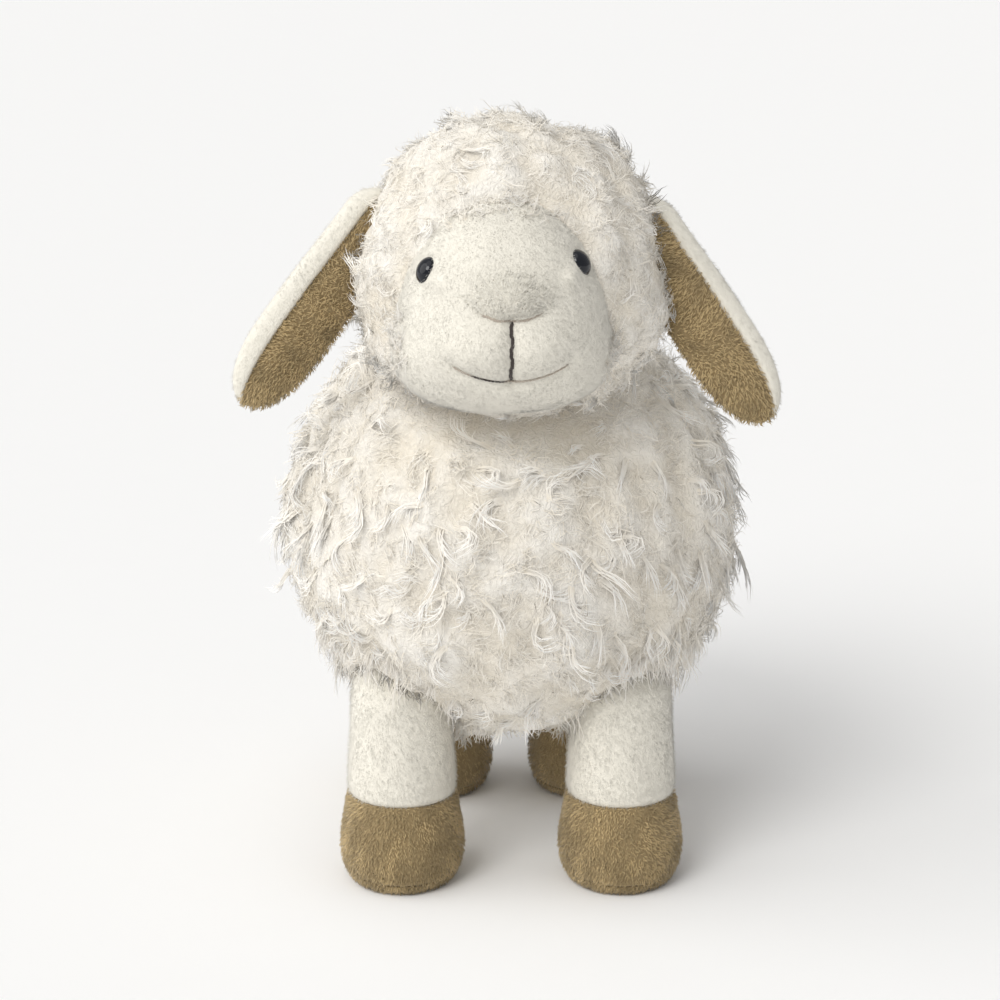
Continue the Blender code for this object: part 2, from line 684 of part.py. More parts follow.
def build_body(neck_seat, over_body, hip_seats, tail_seat):
    """The woolly body cover, open at the neck and over each leg, and its filling."""
    cover = BODY.solid("body_fleece", finish="cream_wool")
    lining = BODY.solid("cutter_body_lining", -BODY_WOOL)
    filling = BODY.solid("body_stuffing", -BODY_WOOL - SEAM_GAP, "white_fibre")
    carve(cover, lining, over_body, neck_seat, *hip_seats, tail_seat)
    carve(filling, over_body, neck_seat, *hip_seats)
    return cover, filling


def build_head(neck_seat, under_head, ear_seats, eye_rooms, filling_rooms, grooves):
    """The woolly hood, the short-pile face sewn into it, and their filling."""
    cover = HEAD.solid("head_fleece", finish="cream_wool")
    lining = HEAD.solid("cutter_head_lining", -HEAD_WOOL)
    face_room = FACE.solid("cutter_face", SEAM_GAP)
    carve(cover, lining, face_room, under_head, neck_seat, *ear_seats, *eye_rooms)

    face = FACE.solid("face_panel", finish="cream_plush")
    face_lining = FACE.solid("cutter_face_lining", -PLUSH)
    carve(face, lining, face_lining, under_head, *eye_rooms, *grooves)

    filling = HEAD.solid("head_stuffing", -HEAD_WOOL - SEAM_GAP, "white_fibre")
    muzzle = FACE.solid("joined_muzzle_stuffing", -PLUSH - SEAM_GAP)
    join(filling, muzzle)
    carve(filling, under_head, neck_seat, *ear_seats, *filling_rooms)
    return cover, face, filling


def main():
    clear_scene()
    torso = pivot("torso_origin", BODY_CENTRE)
    neck_pivot = pivot("neck_nod_pivot", NECK_PIVOT, torso)
    head_pivot = pivot("head_turn_pivot", NECK_PIVOT, neck_pivot)

    neck, neck_seat, under_head, over_body = build_neck()
    hang(neck_pivot, neck)

    legs = {place: build_leg(place, hip) for place, hip in leg_hips().items()}
    for place, hip in leg_hips().items():
        hang(pivot("leg_pivot_" + place, hip, torso), *legs[place][0])
    hip_seats = [seat for _, seat in legs.values()]

    body_surface = surface_tree(BODY.solid("guide_body"))
    tail, tail_seat, tail_point = build_tail(body_surface)
    hang(pivot("tail_pivot", tail_point, torso), *tail)
    hang(torso, *build_body(neck_seat, over_body, hip_seats, tail_seat))

    head_surface = surface_tree(HEAD.solid("guide_head"))
    face_surface = surface_tree(FACE.solid("guide_face"))
    ear_seats = []
    for side, sign in SIDES.items():
        place = ear_place(side, sign, head_surface)
        hang(pivot("ear_pivot_" + side, place.translation, head_pivot), *build_ear(side, place))
        ear_seats.append(ear_seat("cutter_ear_seat_" + side, place))
    eye_rooms, filling_rooms = [], []
    for side, sign in SIDES.items():
        pieces, eye_room, filling_room = build_eye(side, sign, face_surface)
        hang(head_pivot, *pieces)
        eye_rooms.append(eye_room)
        filling_rooms.append(filling_room)
    stitches, grooves = build_stitches(face_surface)
    hang(head_pivot, *stitches)
    hang(head_pivot, *build_head(neck_seat, under_head, ear_seats, eye_rooms, filling_rooms, grooves))


main()
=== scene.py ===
"""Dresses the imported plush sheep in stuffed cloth, curly wool, short pile and sewn lines, with plastic eyes.

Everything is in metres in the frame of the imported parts: +Z is up and the sheep looks towards -Y.
"""

import json
import math

import bpy
import numpy as np
from bpy.props import FloatProperty, FloatVectorProperty, IntProperty, PointerProperty
from mathutils import Matrix, Vector
from mathutils.bvhtree import BVHTree
from mathutils.kdtree import KDTree


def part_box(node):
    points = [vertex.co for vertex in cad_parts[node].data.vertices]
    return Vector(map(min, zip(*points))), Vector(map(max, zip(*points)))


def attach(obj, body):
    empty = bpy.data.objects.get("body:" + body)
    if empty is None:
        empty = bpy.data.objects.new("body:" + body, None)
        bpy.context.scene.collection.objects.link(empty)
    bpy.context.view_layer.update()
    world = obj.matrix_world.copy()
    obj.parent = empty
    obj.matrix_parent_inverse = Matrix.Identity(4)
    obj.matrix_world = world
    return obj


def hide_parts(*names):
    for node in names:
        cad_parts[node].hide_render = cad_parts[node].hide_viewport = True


bl_info = {
    "name": "Plush sheep",
    "version": (1, 0, 0),
    "blender": (4, 5, 0),
    "location": "3D View > Sidebar > Sheep",
    "description": "Makes the cloth, wool and eyes of a standing plush sheep over its packed parts",
    "category": "Object",
}

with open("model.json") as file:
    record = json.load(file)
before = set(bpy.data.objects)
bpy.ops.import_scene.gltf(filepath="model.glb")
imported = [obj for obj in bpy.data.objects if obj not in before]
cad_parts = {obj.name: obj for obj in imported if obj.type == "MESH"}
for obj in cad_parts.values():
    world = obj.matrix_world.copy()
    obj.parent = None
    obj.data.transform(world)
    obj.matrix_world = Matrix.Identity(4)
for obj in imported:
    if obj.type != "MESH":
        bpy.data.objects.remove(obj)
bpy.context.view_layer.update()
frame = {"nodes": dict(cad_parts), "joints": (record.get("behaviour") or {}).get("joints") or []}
JOINTS = {joint["name"]: joint for joint in frame["joints"]}
SIDES = {"left": 1, "right": -1}
LEGS = ("front_left", "front_right", "hind_left", "hind_right")
MOST_TRIANGLES = 195000
UP = np.array((0.0, 0.0, 1.0))


def setting(kind, convert=float, **options):
    """A maker of settings of one kind, each from its name, description and default."""

    def make(name, description, default):
        return kind(name=name, description=description, default=convert(default), **options)

    return make


length = setting(FloatProperty, unit="LENGTH", precision=4)
angle = setting(FloatProperty, math.radians, subtype="ANGLE")
colour = setting(FloatVectorProperty, tuple, subtype="COLOR", min=0, max=1)
number = setting(IntProperty, int, min=1)
amount = setting(FloatProperty)


class SheepForms(bpy.types.PropertyGroup):
    """Sizes of the stuffed forms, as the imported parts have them."""

    body_half_width: length("Body half width", "Middle of the body to its side", 0.083)
    body_half_length: length("Body half length", "Middle of the body to its front", 0.096)
    body_rise: length("Body rise", "Middle of the body to its top", 0.083)
    body_drop: length("Body drop", "Middle of the body to its belly", 0.075)
    head_half_width: length("Head half width", "Middle of the head to its side", 0.056)
    head_half_length: length("Head half length", "Middle of the head to its back", 0.046)
    head_rise: length("Head rise", "Middle of the head to its crown", 0.062)
    head_drop: length("Head drop", "Middle of the head to its underside", 0.046)
    face_half_width: length("Face half width", "Middle of the face to its side", 0.0365)
    face_half_length: length("Face half length", "Middle of the face to the muzzle", 0.042)
    face_rise: length("Face rise", "Middle of the face to the brow", 0.041)
    face_drop: length("Face drop", "Middle of the face to the chin", 0.034)
    face_turn: angle("Face turn", "How far the face looks to one side", 4.5)
    neck_radius: length("Neck radius", "Radius of the stuffed neck", 0.022)
    nod_room: angle("Nod room", "Open wedge between the head and the body", 9.5)
    foot_height: length("Foot height", "Floor to the seam between leg and foot", 0.032)
    sole: length("Sole", "Floor to the seam of the sole", 0.004)
    hip_radius: length("Hip radius", "Radius of the top of a leg", 0.0178)
    leg_radius: length("Leg radius", "Radius of a leg at its seam", 0.0193)
    ear_half_width: length("Ear half width", "Half width of an ear at its widest", 0.0132)
    ear_half_depth: length("Ear half depth", "Half thickness of an ear", 0.0049)
    ear_root: length("Ear root", "Radius of an ear's root", 0.012)
    tail_length: length("Tail length", "Seat to tip of the tail", 0.036)
    tail_half_width: length("Tail half width", "Half width of the tail's wool", 0.0125)


class SheepPile(bpy.types.PropertyGroup):
    """Sizes and counts of the wool and the short pile."""

    body_pile: length("Body pile", "Depth of the down on the body", 0.0026)
    head_pile: length("Head pile", "Depth of the down on the head", 0.0024)
    tail_pile: length("Tail pile", "Depth of the down on the tail", 0.0030)
    body_down: length("Body down", "Length of the matted down on the body", 0.0085)
    head_down: length("Head down", "Length of the matted down on the head", 0.0062)
    body_wisp: length("Body wisp", "Length of a long lock on the body", 0.0180)
    head_wisp: length("Head wisp", "Length of a long lock on the head", 0.0115)
    fibre_radius: length("Fibre radius", "Radius of a wool fibre at its root", 0.00021)
    nap_length: length("Nap length", "Length of the short pile", 0.0017)
    nap_radius: length("Nap radius", "Radius of a hair of the short pile", 0.00012)
    body_locks: number("Body locks", "Small matted locks on the body", 3420)
    head_locks: number("Head locks", "Small matted locks on the head", 2020)
    body_wisps: number("Body wisps", "Long locks on the body", 520)
    head_wisps: number("Head wisps", "Long locks on the head", 190)
    hem_locks: number("Hem locks", "Locks that hang over the tops of the legs", 1000)
    hem_length: length("Hem length", "Length of a lock that hangs over a leg", 0.0125)
    brim_locks: number("Brim locks", "Locks that lie over the edge of the face", 520)
    brim_length: length("Brim length", "Length of a lock over the edge of the face", 0.0058)
    temple_locks: number("Temple locks", "Locks over the roots of the ears", 90)
    temple_length: length("Temple length", "Length of a lock over an ear", 0.0115)
    cream_nap: amount("Cream nap", "Cream hairs on a square millimetre", 1.9)
    tan_nap: amount("Tan nap", "Tan hairs on a square millimetre", 1.55)


class SheepColours(bpy.types.PropertyGroup):
    """Colours of the cloth, the wool, the threads and the eyes."""

    wool_tip: colour("Wool tip", "Wool at the ends of the locks", (0.965, 0.955, 0.932))
    # wool_root is painted shade: the darker colour at the roots of the locks and in the low places of the
    # backing, where the wool shades itself.
    wool_root: colour("Wool root", "Wool at its roots", (0.81, 0.742, 0.625))
    cream: colour("Cream", "Short pile of the face, legs and ears", (0.83, 0.80, 0.715))
    # The cloth-and-shade colours are the cloth under the pile, and also painted shade at the roots of the
    # pile's hairs.
    cream_cloth_and_shade: colour("Deep cream", "Cloth under the cream pile", (0.80, 0.76, 0.665))
    tan: colour("Tan", "Short pile of the ears and feet", (0.43, 0.325, 0.170))
    tan_cloth_and_shade: colour("Deep tan", "Cloth under the tan pile", (0.17, 0.115, 0.048))
    thread_dark: colour("Dark thread", "Thread of the lip and mouth", (0.040, 0.030, 0.026))
    thread_taupe: colour("Taupe thread", "Thread of the nose", (0.42, 0.36, 0.30))
    eye: colour("Eye", "Plastic of the eyes", (0.004, 0.005, 0.008))
    floor: colour("Floor", "Studio floor", (0.93, 0.93, 0.93))


class SheepStudio(bpy.types.PropertyGroup):
    """Camera and light."""

    camera_height: length("Aim height", "Height that the camera aims at", 0.124)
    camera_aside: length("Aim aside", "How far aside the camera aims", -0.004)
    camera_distance: length("Camera distance", "Camera to what it aims at", 1.2)
    camera_tilt: angle("Camera tilt", "How far the camera looks down", 16.0)
    camera_lens: amount("Lens", "Focal length in millimetres", 117.5)
    sun: amount("Key", "Strength of the key light", 1.40)
    side: amount("Side", "Strength of the light from the left", 1.0)
    top: amount("Top", "Strength of the light from above", 0.45)
    sky: amount("Fill", "Strength of the even light all round", 0.44)


class SheepSettings(bpy.types.PropertyGroup):
    """All settings of the sheep."""

    forms: PointerProperty(type=SheepForms)
    pile: PointerProperty(type=SheepPile)
    colours: PointerProperty(type=SheepColours)
    studio: PointerProperty(type=SheepStudio)


def unit(vectors):
    return vectors / np.maximum(np.linalg.norm(vectors, axis=-1, keepdims=True), 1e-12)


def smooth_step(shares):
    shares = np.clip(shares, 0.0, 1.0)
    return shares * shares * (3 - 2 * shares)


def drift(points, size, seed, waves=7):
    """A smooth random vector at each point, which changes over about this size."""
    rng = np.random.default_rng(seed)
    ways = rng.normal(size=(waves, 3)) * (1.8 / size)
    phases = rng.uniform(0, math.tau, (waves, 3))
    return np.sin((points @ ways.T)[:, :, None] + phases[None]).sum(1) / math.sqrt(waves / 2)


def flattened(vectors, normals):
    """Vectors with what points along the normals taken out."""
    return vectors - normals * (vectors * normals).sum(-1, keepdims=True)


# Materials


class Value:
    """A socket of a material that takes sums. A number works as one too."""

    def __init__(self, finish, socket):
        self.finish = finish
        self.socket = socket

    def maths(self, operation, *values):
        return self.finish.node("ShaderNodeMath", {"operation": operation}, dict(enumerate(values)))

    def __add__(self, other):
        return self.maths("ADD", self, other)

    __radd__ = __add__

    def __sub__(self, other):
        return self.maths("SUBTRACT", self, other)

    def __rsub__(self, other):
        return self.maths("SUBTRACT", other, self)

    def __mul__(self, other):
        return self.maths("MULTIPLY", self, other)

    __rmul__ = __mul__

    def __pow__(self, other):
        return self.maths("POWER", self, other)

    def within(self, low, high):
        """0 at low, 1 at high and smooth between them."""
        settings = {"interpolation_type": "SMOOTHSTEP"}
        inputs = {"Value": self, "From Min": low, "From Max": high}
        return self.finish.node("ShaderNodeMapRange", settings, inputs)


class Finish:
    """A material with one Principled shader, and its nodes."""

    def __init__(self, name, **sockets):
        self.material = bpy.data.materials.new(name)
        self.material.use_nodes = True
        self.tree = self.material.node_tree
        self.shader = self.tree.nodes["Principled BSDF"]
        self.set(**sockets)

    def set(self, **sockets):
        for name, value in sockets.items():
            self.join(self.shader.inputs[name.replace("_", " ").title().replace("Ior", "IOR")], value)

    def join(self, socket, value):
        if isinstance(value, Value):
            self.tree.links.new(value.socket, socket)
        elif hasattr(value, "__len__") and len(value) == 3 and socket.type == "RGBA":
            socket.default_value = (*value, 1.0)
        else:
            socket.default_value = value

    def node(self, kind, settings=None, inputs=None, output=0):
        node = self.tree.nodes.new(kind)
        for name, value in (settings or {}).items():
            setattr(node, name, value)
        for name, value in (inputs or {}).items():
            self.join(node.inputs[name], value)
        return Value(self, node.outputs[output])

    def mixed(self, share, first, second):
        """A colour between two colours."""
        node = self.tree.nodes.new("ShaderNodeMix")
        node.data_type = "RGBA"
        for socket, value in ((node.inputs[0], share), (node.inputs[6], first), (node.inputs[7], second)):
            self.join(socket, value)
        return Value(self, node.outputs[2])

    def attribute(self, name):
        return self.node("ShaderNodeAttribute", {"attribute_name": name}, output=2)

    def noise(self, size, detail=2.0, stretch=(1.0, 1.0, 1.0), swirl=0.0):
        """Noise on the piece's own coordinates with spots of about this size."""
        place = self.node("ShaderNodeTexCoord", output=3)
        scale = tuple(s / size for s in stretch)
        mapped = self.node("ShaderNodeMapping", None, {"Vector": place, "Scale": scale})
        inputs = {"Vector": mapped, "Scale": 1.0, "Detail": detail, "Distortion": swirl}
        return self.node("ShaderNodeTexNoise", None, inputs)

    def bump(self, height, strength, distance):
        inputs = {"Height": height, "Strength": strength, "Distance": distance}
        self.set(normal=self.node("ShaderNodeBump", None, inputs))


def shaded(rgb, factor):
    return tuple(min(1.0, c * factor) for c in rgb)


def make_finishes():
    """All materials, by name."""
    tints = bpy.context.scene.sheep.colours
    finishes = {}

    # The wool's glow is painted light, standing in for light passed from fibre to fibre. Its colour runs from
    # painted shade at the root to the tip, lightened by each lock's tone.
    wool = Finish("wool_fibre", roughness=0.8, specular_ior_level=0.2, emission_strength=0.13)
    pile, tone = wool.attribute("pile"), wool.attribute("tone")
    base = wool.mixed((pile ** 0.8) * (0.42 + tone * 0.58), tints.wool_root[:], tints.wool_tip[:])
    wool.set(base_color=base, emission_color=base)
    finishes["wool"] = wool

    # The backing is a little darker than the wool, as painted shade in the gaps between locks. It is darker
    # still in the low places of its lumps, as painted shade, and its faint glow is painted light.
    back = Finish("wool_backing", roughness=0.95, specular_ior_level=0.2, emission_strength=0.08)
    fluff, pile = back.noise(0.0030, 3.0, swirl=2.5), back.attribute("pile")
    base = back.mixed(pile * 0.4 + fluff * 0.3, shaded(tints.wool_root, 0.92), shaded(tints.wool_tip, 0.92))
    back.set(base_color=base, emission_color=base)
    back.bump(fluff, 0.7, 0.002)
    finishes["backing"] = back

    for name, light, deep in (("cream", tints.cream, tints.cream_cloth_and_shade), ("tan", tints.tan, tints.tan_cloth_and_shade)):
        hair = Finish(name + "_hair", roughness=0.7, sheen_weight=0.25, sheen_roughness=0.45)
        pile, tone = hair.attribute("pile"), hair.attribute("tone")
        # Each hair runs from painted shade at its root to its own colour at its tip. Its tone differs at
        # random, with painted light added where painted_light is given.
        base = hair.mixed(pile ** 0.6, deep[:], light[:])
        pale = 1.05 if name == "cream" else 1.7
        hair.set(base_color=hair.mixed(tone ** 1.5 * 0.7, base, shaded(light, pale)))
        finishes[name + "_hair"] = hair

        cloth = Finish(name + "_cloth", roughness=0.92, sheen_weight=0.3, sheen_roughness=0.5)
        fine, broad = cloth.noise(0.0007, 3.0), cloth.noise(0.006, 2.0)
        cloth.set(base_color=cloth.mixed(fine * 0.5 + broad * 0.3 + 0.1, deep[:], light[:]))
        cloth.bump(fine, 0.5, 0.0006)
        finishes[name + "_cloth"] = cloth

    pale = tuple(tints.thread_taupe)
    for name, tint in (("dark", tints.thread_dark), ("taupe", pale), ("mouth", pale)):
        thread = Finish(name + "_floss", roughness=0.6, sheen_weight=0.3, sheen_roughness=0.4)
        twist = thread.noise(0.0003, 3.0)
        shade = thread.mixed(twist, shaded(tint, 0.6), shaded(tint, 1.7))
        if name == "mouth":
            place = thread.node("ShaderNodeTexCoord", output=3)
            across = thread.node("ShaderNodeSeparateXYZ", None, {"Vector": place})
            middle = across.within(-0.0145, -0.0120) - across.within(-0.0035, -0.0010)
            shade = thread.mixed(middle, shade, shaded(tints.thread_dark, 1.2))
        thread.set(base_color=shade)
        thread.bump(twist, 0.4, 0.0002)
        finishes[name + "_thread"] = thread

    eye = Finish("eye_gloss", roughness=0.12, specular_ior_level=0.3, coat_weight=0.25, coat_roughness=0.03)
    cloud = eye.noise(0.004, 2.0)
    eye.set(base_color=eye.mixed(cloud, tints.eye[:], shaded(tints.eye, 2.2)))
    finishes["eye"] = eye

    washer = Finish("washer_plastic", roughness=0.4)
    grain = washer.noise(0.001, 2.0)
    washer.set(base_color=washer.mixed(grain, (0.70, 0.70, 0.68), (0.78, 0.78, 0.76)))
    washer.bump(grain, 0.2, 0.0001)
    finishes["washer"] = washer
    return finishes


FINISHES = {}


def finish_of(name):
    if not FINISHES:
        FINISHES.update(make_finishes())
    return FINISHES[name].material


# Stuffed forms


class StuffedForm:
    """A rounded stuffed shape with its own reach along each way.

    A fullness over 2 is rounder than a ball.
    """

    def __init__(self, centre, half_width, half_length, rise, drop, fullness):
        self.centre, self.fullness = np.array(centre, float), fullness
        self.half_width, self.half_length = half_width, half_length
        self.rise, self.drop = rise, drop

    def shape_shares(self, at):
        """Shares of the width and the length at places on the unit form."""
        return np.ones(len(at)), np.ones(len(at))

    def reach(self, at, grow):
        wider, longer = self.shape_shares(at)
        height = np.where(at[:, 2] > 0, self.rise, self.drop)
        return np.stack((self.half_width * wider, self.half_length * longer, height), -1) + grow

    def local(self, ways, grow=0.0):
        """Points about the middle, before any turn."""
        out = (np.abs(ways) ** self.fullness).sum(-1) ** (-1 / self.fullness)
        at = ways * out[:, None]
        return at * self.reach(at, grow)

    def points(self, ways, grow=0.0):
        return self.centre + self.local(ways, grow)

    def inside(self, points, grow=0.0):
        """Under 1 inside the form grown by so much, and over 1 outside it."""
        at = self.unturned(points - self.centre)
        up = at[:, 2] / (np.where(at[:, 2] > 0, self.rise, self.drop) + grow)
        shares = np.stack((at[:, 0], at[:, 1], np.clip(up, -1, 1)), -1)
        return (np.abs(at / self.reach(shares, grow)) ** self.fullness).sum(-1)

    def unturned(self, points):
        return points


BROAD_LUMP, FINE_LUMP = (0.0135, 0.00095), (0.0060, 0.00055)


def lumps(points, seed):
    """The uneven height of matted wool, in metres, about 0."""
    (broad, high), (fine, low) = BROAD_LUMP, FINE_LUMP
    return drift(points, broad, seed)[:, 0] * high + drift(points, fine, seed + 1)[:, 1] * low


def seated(points, place, axis, radius, tilt):
    """Points pushed in against an axis, clear of a ball and of the cone or cut that opens from it."""
    away = points - place
    level = away @ axis
    across = np.linalg.norm(away - level[:, None] * axis, axis=1)
    ball_level = -np.sqrt(np.clip(radius**2 - across**2, 0, None))
    cone_level = (across - radius) * tilt if tilt > 0 else across * tilt
    limit = np.where(across < radius, np.minimum(ball_level, cone_level), cone_level)
    return points - np.clip(level - limit, 0, None)[:, None] * axis


class FaceForm(StuffedForm):
    """The face: narrow at the brow, with a muzzle that is drawn in along its sewn lines."""

    BROW_SHARE, WIDE_BROW_SHARE = 0.25, 0.17
    SHOWN_WIDTH, SHOWN_RISE, SHOWN_DROP, SHOWN_PLACE = 0.0348, 0.0308, 0.0420, (0.0006, 0.0045)
    SHOWN_FULLNESS, BEHIND = 2.3, 9.0
    SWELL_SHARE, SWELL_PLACE_SHARE, SWELL_SPREAD_SHARE = 0.07, -0.15, 0.42
    NOSE_HEIGHT, NOSE_HALF_WIDTH, NOSE_DIP = 0.0075, 0.0100, 0.0024
    MOUTH_HEIGHT, MOUTH_HALF_WIDTH, MOUTH_DIP = -0.0160, 0.0190, 0.0055
    LIP_LOW, LIP_HIGH, LIP_FADE = -0.0185, 0.0075, 0.003
    NOSE_END, MOUTH_END, LINE_FADE = 0.0145, 0.0245, 0.006
    # Half width and depth of each sewn groove
    LIP_GROOVE, NOSE_GROOVE, MOUTH_GROOVE = (0.0017, 0.0021), (0.0015, 0.0011), (0.0028, 0.0021)
    # Cheeks, nose pad and chin: place aside and up, half width, half height and height
    SWELLS = (
        (0.0105, -0.0050, 0.0085, 0.0085, 0.0022),
        (0.0, 0.0125, 0.0100, 0.0060, 0.0011),
        (0.0, -0.0235, 0.0140, 0.0060, 0.0012),
    )
    LIDS, LID_RADIUS, LID_HEIGHT = ((-0.0235, 0.0166), (0.0210, 0.0180)), 0.0030, 0.0027

    def __init__(self, *sizes, turn=0.0):
        super().__init__(*sizes)
        self.turn = np.array(Matrix.Rotation(turn, 3, "Z"))

    def shape_shares(self, at):
        above = (at[:, 2] - self.SWELL_PLACE_SHARE) / self.SWELL_SPREAD_SHARE
        swell = np.where(at[:, 1] < 0, self.SWELL_SHARE * np.exp(-(above**2)), 0.0)
        narrowing = np.where(at[:, 2] > 0, self.WIDE_BROW_SHARE, self.BROW_SHARE)
        return 1.0 - narrowing * at[:, 2], 1.0 + swell

    def turned(self, points):
        return points @ self.turn.T

    def points(self, ways, grow=0.0):
        return self.centre + self.turned(self.local(ways, grow))

    def unturned(self, points):
        return points @ self.turn

    def at(self, points):
        """Places on the face: across, along and up from its middle."""
        return self.unturned(points - self.centre)

    def shown(self, points):
        """Under 1 at the part of the front that the hood leaves open, and over 1 outside it."""
        at = self.at(points)
        across, up = at[:, 0] - self.SHOWN_PLACE[0], at[:, 2] - self.SHOWN_PLACE[1]
        up = np.abs(up / np.where(up > 0, self.SHOWN_RISE, self.SHOWN_DROP)) ** self.SHOWN_FULLNESS
        across = np.abs(across / self.SHOWN_WIDTH) ** self.SHOWN_FULLNESS
        return across + up + np.where(at[:, 1] > 0, self.BEHIND, 0.0)

    def nose_line(self, x):
        return self.NOSE_HEIGHT - self.NOSE_DIP * (1 - (x / self.NOSE_HALF_WIDTH) ** 2)

    def mouth_line(self, x):
        return self.MOUTH_HEIGHT + self.MOUTH_DIP * (x / self.MOUTH_HALF_WIDTH) ** 2

    def relief(self, x, z):
        """How far the cloth stands out at a place of the front. The sewn lines draw it in."""

        def ridge(distance, width):
            return np.exp(-((distance / width) ** 2))

        def ends(half):
            return smooth_step((half - np.abs(x)) / self.LINE_FADE)

        low, high = (z - self.LIP_LOW) / self.LIP_FADE, (self.LIP_HIGH - z) / self.LIP_FADE
        lip = ridge(x, self.LIP_GROOVE[0]) * smooth_step(low) * smooth_step(high)
        nose = ridge(z - self.nose_line(x), self.NOSE_GROOVE[0]) * ends(self.NOSE_END)
        mouth = ridge(z - self.mouth_line(x), self.MOUTH_GROOVE[0]) * ends(self.MOUTH_END)
        swell = sum(
            height * (ridge(np.abs(x) - aside, wide) * ridge(z - up, tall))
            for aside, up, wide, tall, height in self.SWELLS
        )
        lids = sum(ridge(np.hypot(x - aside, z - up), self.LID_RADIUS) for aside, up in self.LIDS)
        swell = swell + self.LID_HEIGHT * lids
        return swell - self.LIP_GROOVE[1] * lip - self.NOSE_GROOVE[1] * nose - self.MOUTH_GROOVE[1] * mouth

    def sewn(self, ways):
        at = self.local(ways, -0.0005)
        front = smooth_step(-at[:, 1] / self.half_length * 1.6)
        at[:, 1] -= self.relief(at[:, 0], at[:, 2]) * front
        return self.centre + self.turned(at)


class EarForm:
    """An ear on its joint: X to its outer edge, -Y out of its tan face and Z to its tip."""

    TIP_ROUND, RIM_SHARE, WIDEST_SHARE, DROP = 0.030, 0.20, 0.45, math.radians(14)

    def __init__(self, side, sign, forms):
        joint = JOINTS["ear_lift_" + side]
        self.forms, self.pivot = forms, np.array(joint["pos_m"])
        verts = np.array([v.co for v in frame["nodes"]["ear_outer_" + side].data.vertices])
        away = np.linalg.norm(verts - self.pivot, axis=1)
        self.size = away.max()
        self.tip = unit(verts[np.argmax(away)] - self.pivot)
        axis = np.array(joint["axis"])
        self.axes = np.stack((unit(np.cross(axis, self.tip)), -sign * axis, self.tip))

    def world(self, x, y, along):
        return self.pivot + np.stack((x, y, along), -1) @ self.axes

    def section(self, along):
        """Half width and half depth along the ear, rounded off at the root and the tip."""
        forms = self.forms
        root, wide, deep = forms.ear_root, forms.ear_half_width, forms.ear_half_depth
        middle = root + (wide - root) * smooth_step(along / self.size / self.WIDEST_SHARE)
        behind = np.clip(-along / root, 0, 1)
        ahead = np.clip(1 - (self.size - along) / self.TIP_ROUND, 0, 1)
        at_root, at_tip = root * np.sqrt(1 - behind**2), middle * np.sqrt(1 - ahead**2.4)
        depth = deep * np.sqrt(1 - np.where(along < 0, behind, ahead) ** 4)
        return np.where(along < 0, at_root, at_tip), depth

    def slotted(self, points, gap):
        """Points pushed in out of the slot that the ear turns in."""
        forms = self.forms
        x, y, along = ((points - self.pivot) @ self.axes.T).T
        root = forms.ear_root + gap
        wide = max(forms.ear_half_width, forms.ear_root) + gap
        behind = -np.sqrt(np.clip(root**2 - along**2, 0, None))
        ahead = -along * math.tan(self.DROP) - wide / math.cos(self.DROP)
        inner = np.where(along < 0, behind, np.minimum(ahead, behind))
        held = (np.abs(y) < forms.ear_half_depth + gap) & (along > -root) & (x > inner)
        return self.world(np.where(held, inner, x), y, along)


class Sheep:
    """The sheep's settings and forms, and the places of its joints."""

    BODY_FULLNESS, FACE_FULLNESS = 2.1, 2.4
    FACE_PLACE = (-0.0035, -0.021, -0.002)
    GAP = 0.0006

    def __init__(self):
        settings = bpy.context.scene.sheep
        self.pile, self.forms = settings.pile, settings.forms
        forms = self.forms

        def sizes(part):
            names = ("half_width", "half_length", "rise", "drop")
            return [getattr(forms, f"{part}_{name}") for name in names]

        low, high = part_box("body_fleece")[0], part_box("head_fleece")[1]
        body = (0.0, low.y + forms.body_half_length, low.z + forms.body_drop)
        head = (0.0, high.y - forms.head_half_length, high.z - forms.head_rise)
        face = np.array(head) + np.array(self.FACE_PLACE)
        self.body = StuffedForm(body, *sizes("body"), self.BODY_FULLNESS)
        self.head = StuffedForm(head, *sizes("head"), self.BODY_FULLNESS)
        self.face = FaceForm(face, *sizes("face"), self.FACE_FULLNESS, turn=forms.face_turn)
        self.neck_pivot = np.array(JOINTS["head_turn"]["pos_m"])
        self.neck_axis = np.array(JOINTS["head_turn"]["axis"])
        self.hips = {leg: np.array(JOINTS["leg_swing_" + leg]["pos_m"]) for leg in LEGS}
        self.tail_seat = np.array(JOINTS["tail_wag"]["pos_m"])
        self.tail_way = unit(np.cross(JOINTS["tail_wag"]["axis"], (1.0, 0.0, 0.0)))
        self.ears = {side: EarForm(side, sign, forms) for side, sign in SIDES.items()}

    def above_neck(self, points):
        return (points - self.neck_pivot) @ self.neck_axis


SHEEP = []


def sheep():
    if not SHEEP:
        SHEEP.append(Sheep())
    return SHEEP[0]


# Meshes


def ball(name, around, over, place, finish):
    """Adds a ball and moves its points to where place says, from their directions."""
    bpy.ops.object.select_all(action="DESELECT")
    bpy.ops.mesh.primitive_uv_sphere_add(segments=around, ring_count=over, radius=1.0)
    obj = bpy.context.object
    obj.name = obj.data.name = name
    ways = np.empty(len(obj.data.vertices) * 3)
    obj.data.vertices.foreach_get("co", ways)
    points = place(unit(ways.reshape(-1, 3)))
    obj.data.vertices.foreach_set("co", points.ravel())
    obj.data.update()
    set_outward(obj)
    bpy.ops.object.shade_smooth()
    obj.data.materials.append(finish_of(finish))
    return obj


def set_outward(obj):
    bpy.ops.object.mode_set(mode="EDIT")
    bpy.ops.mesh.select_all(action="SELECT")
    bpy.ops.mesh.normals_make_consistent(inside=False)
    bpy.ops.object.mode_set(mode="OBJECT")


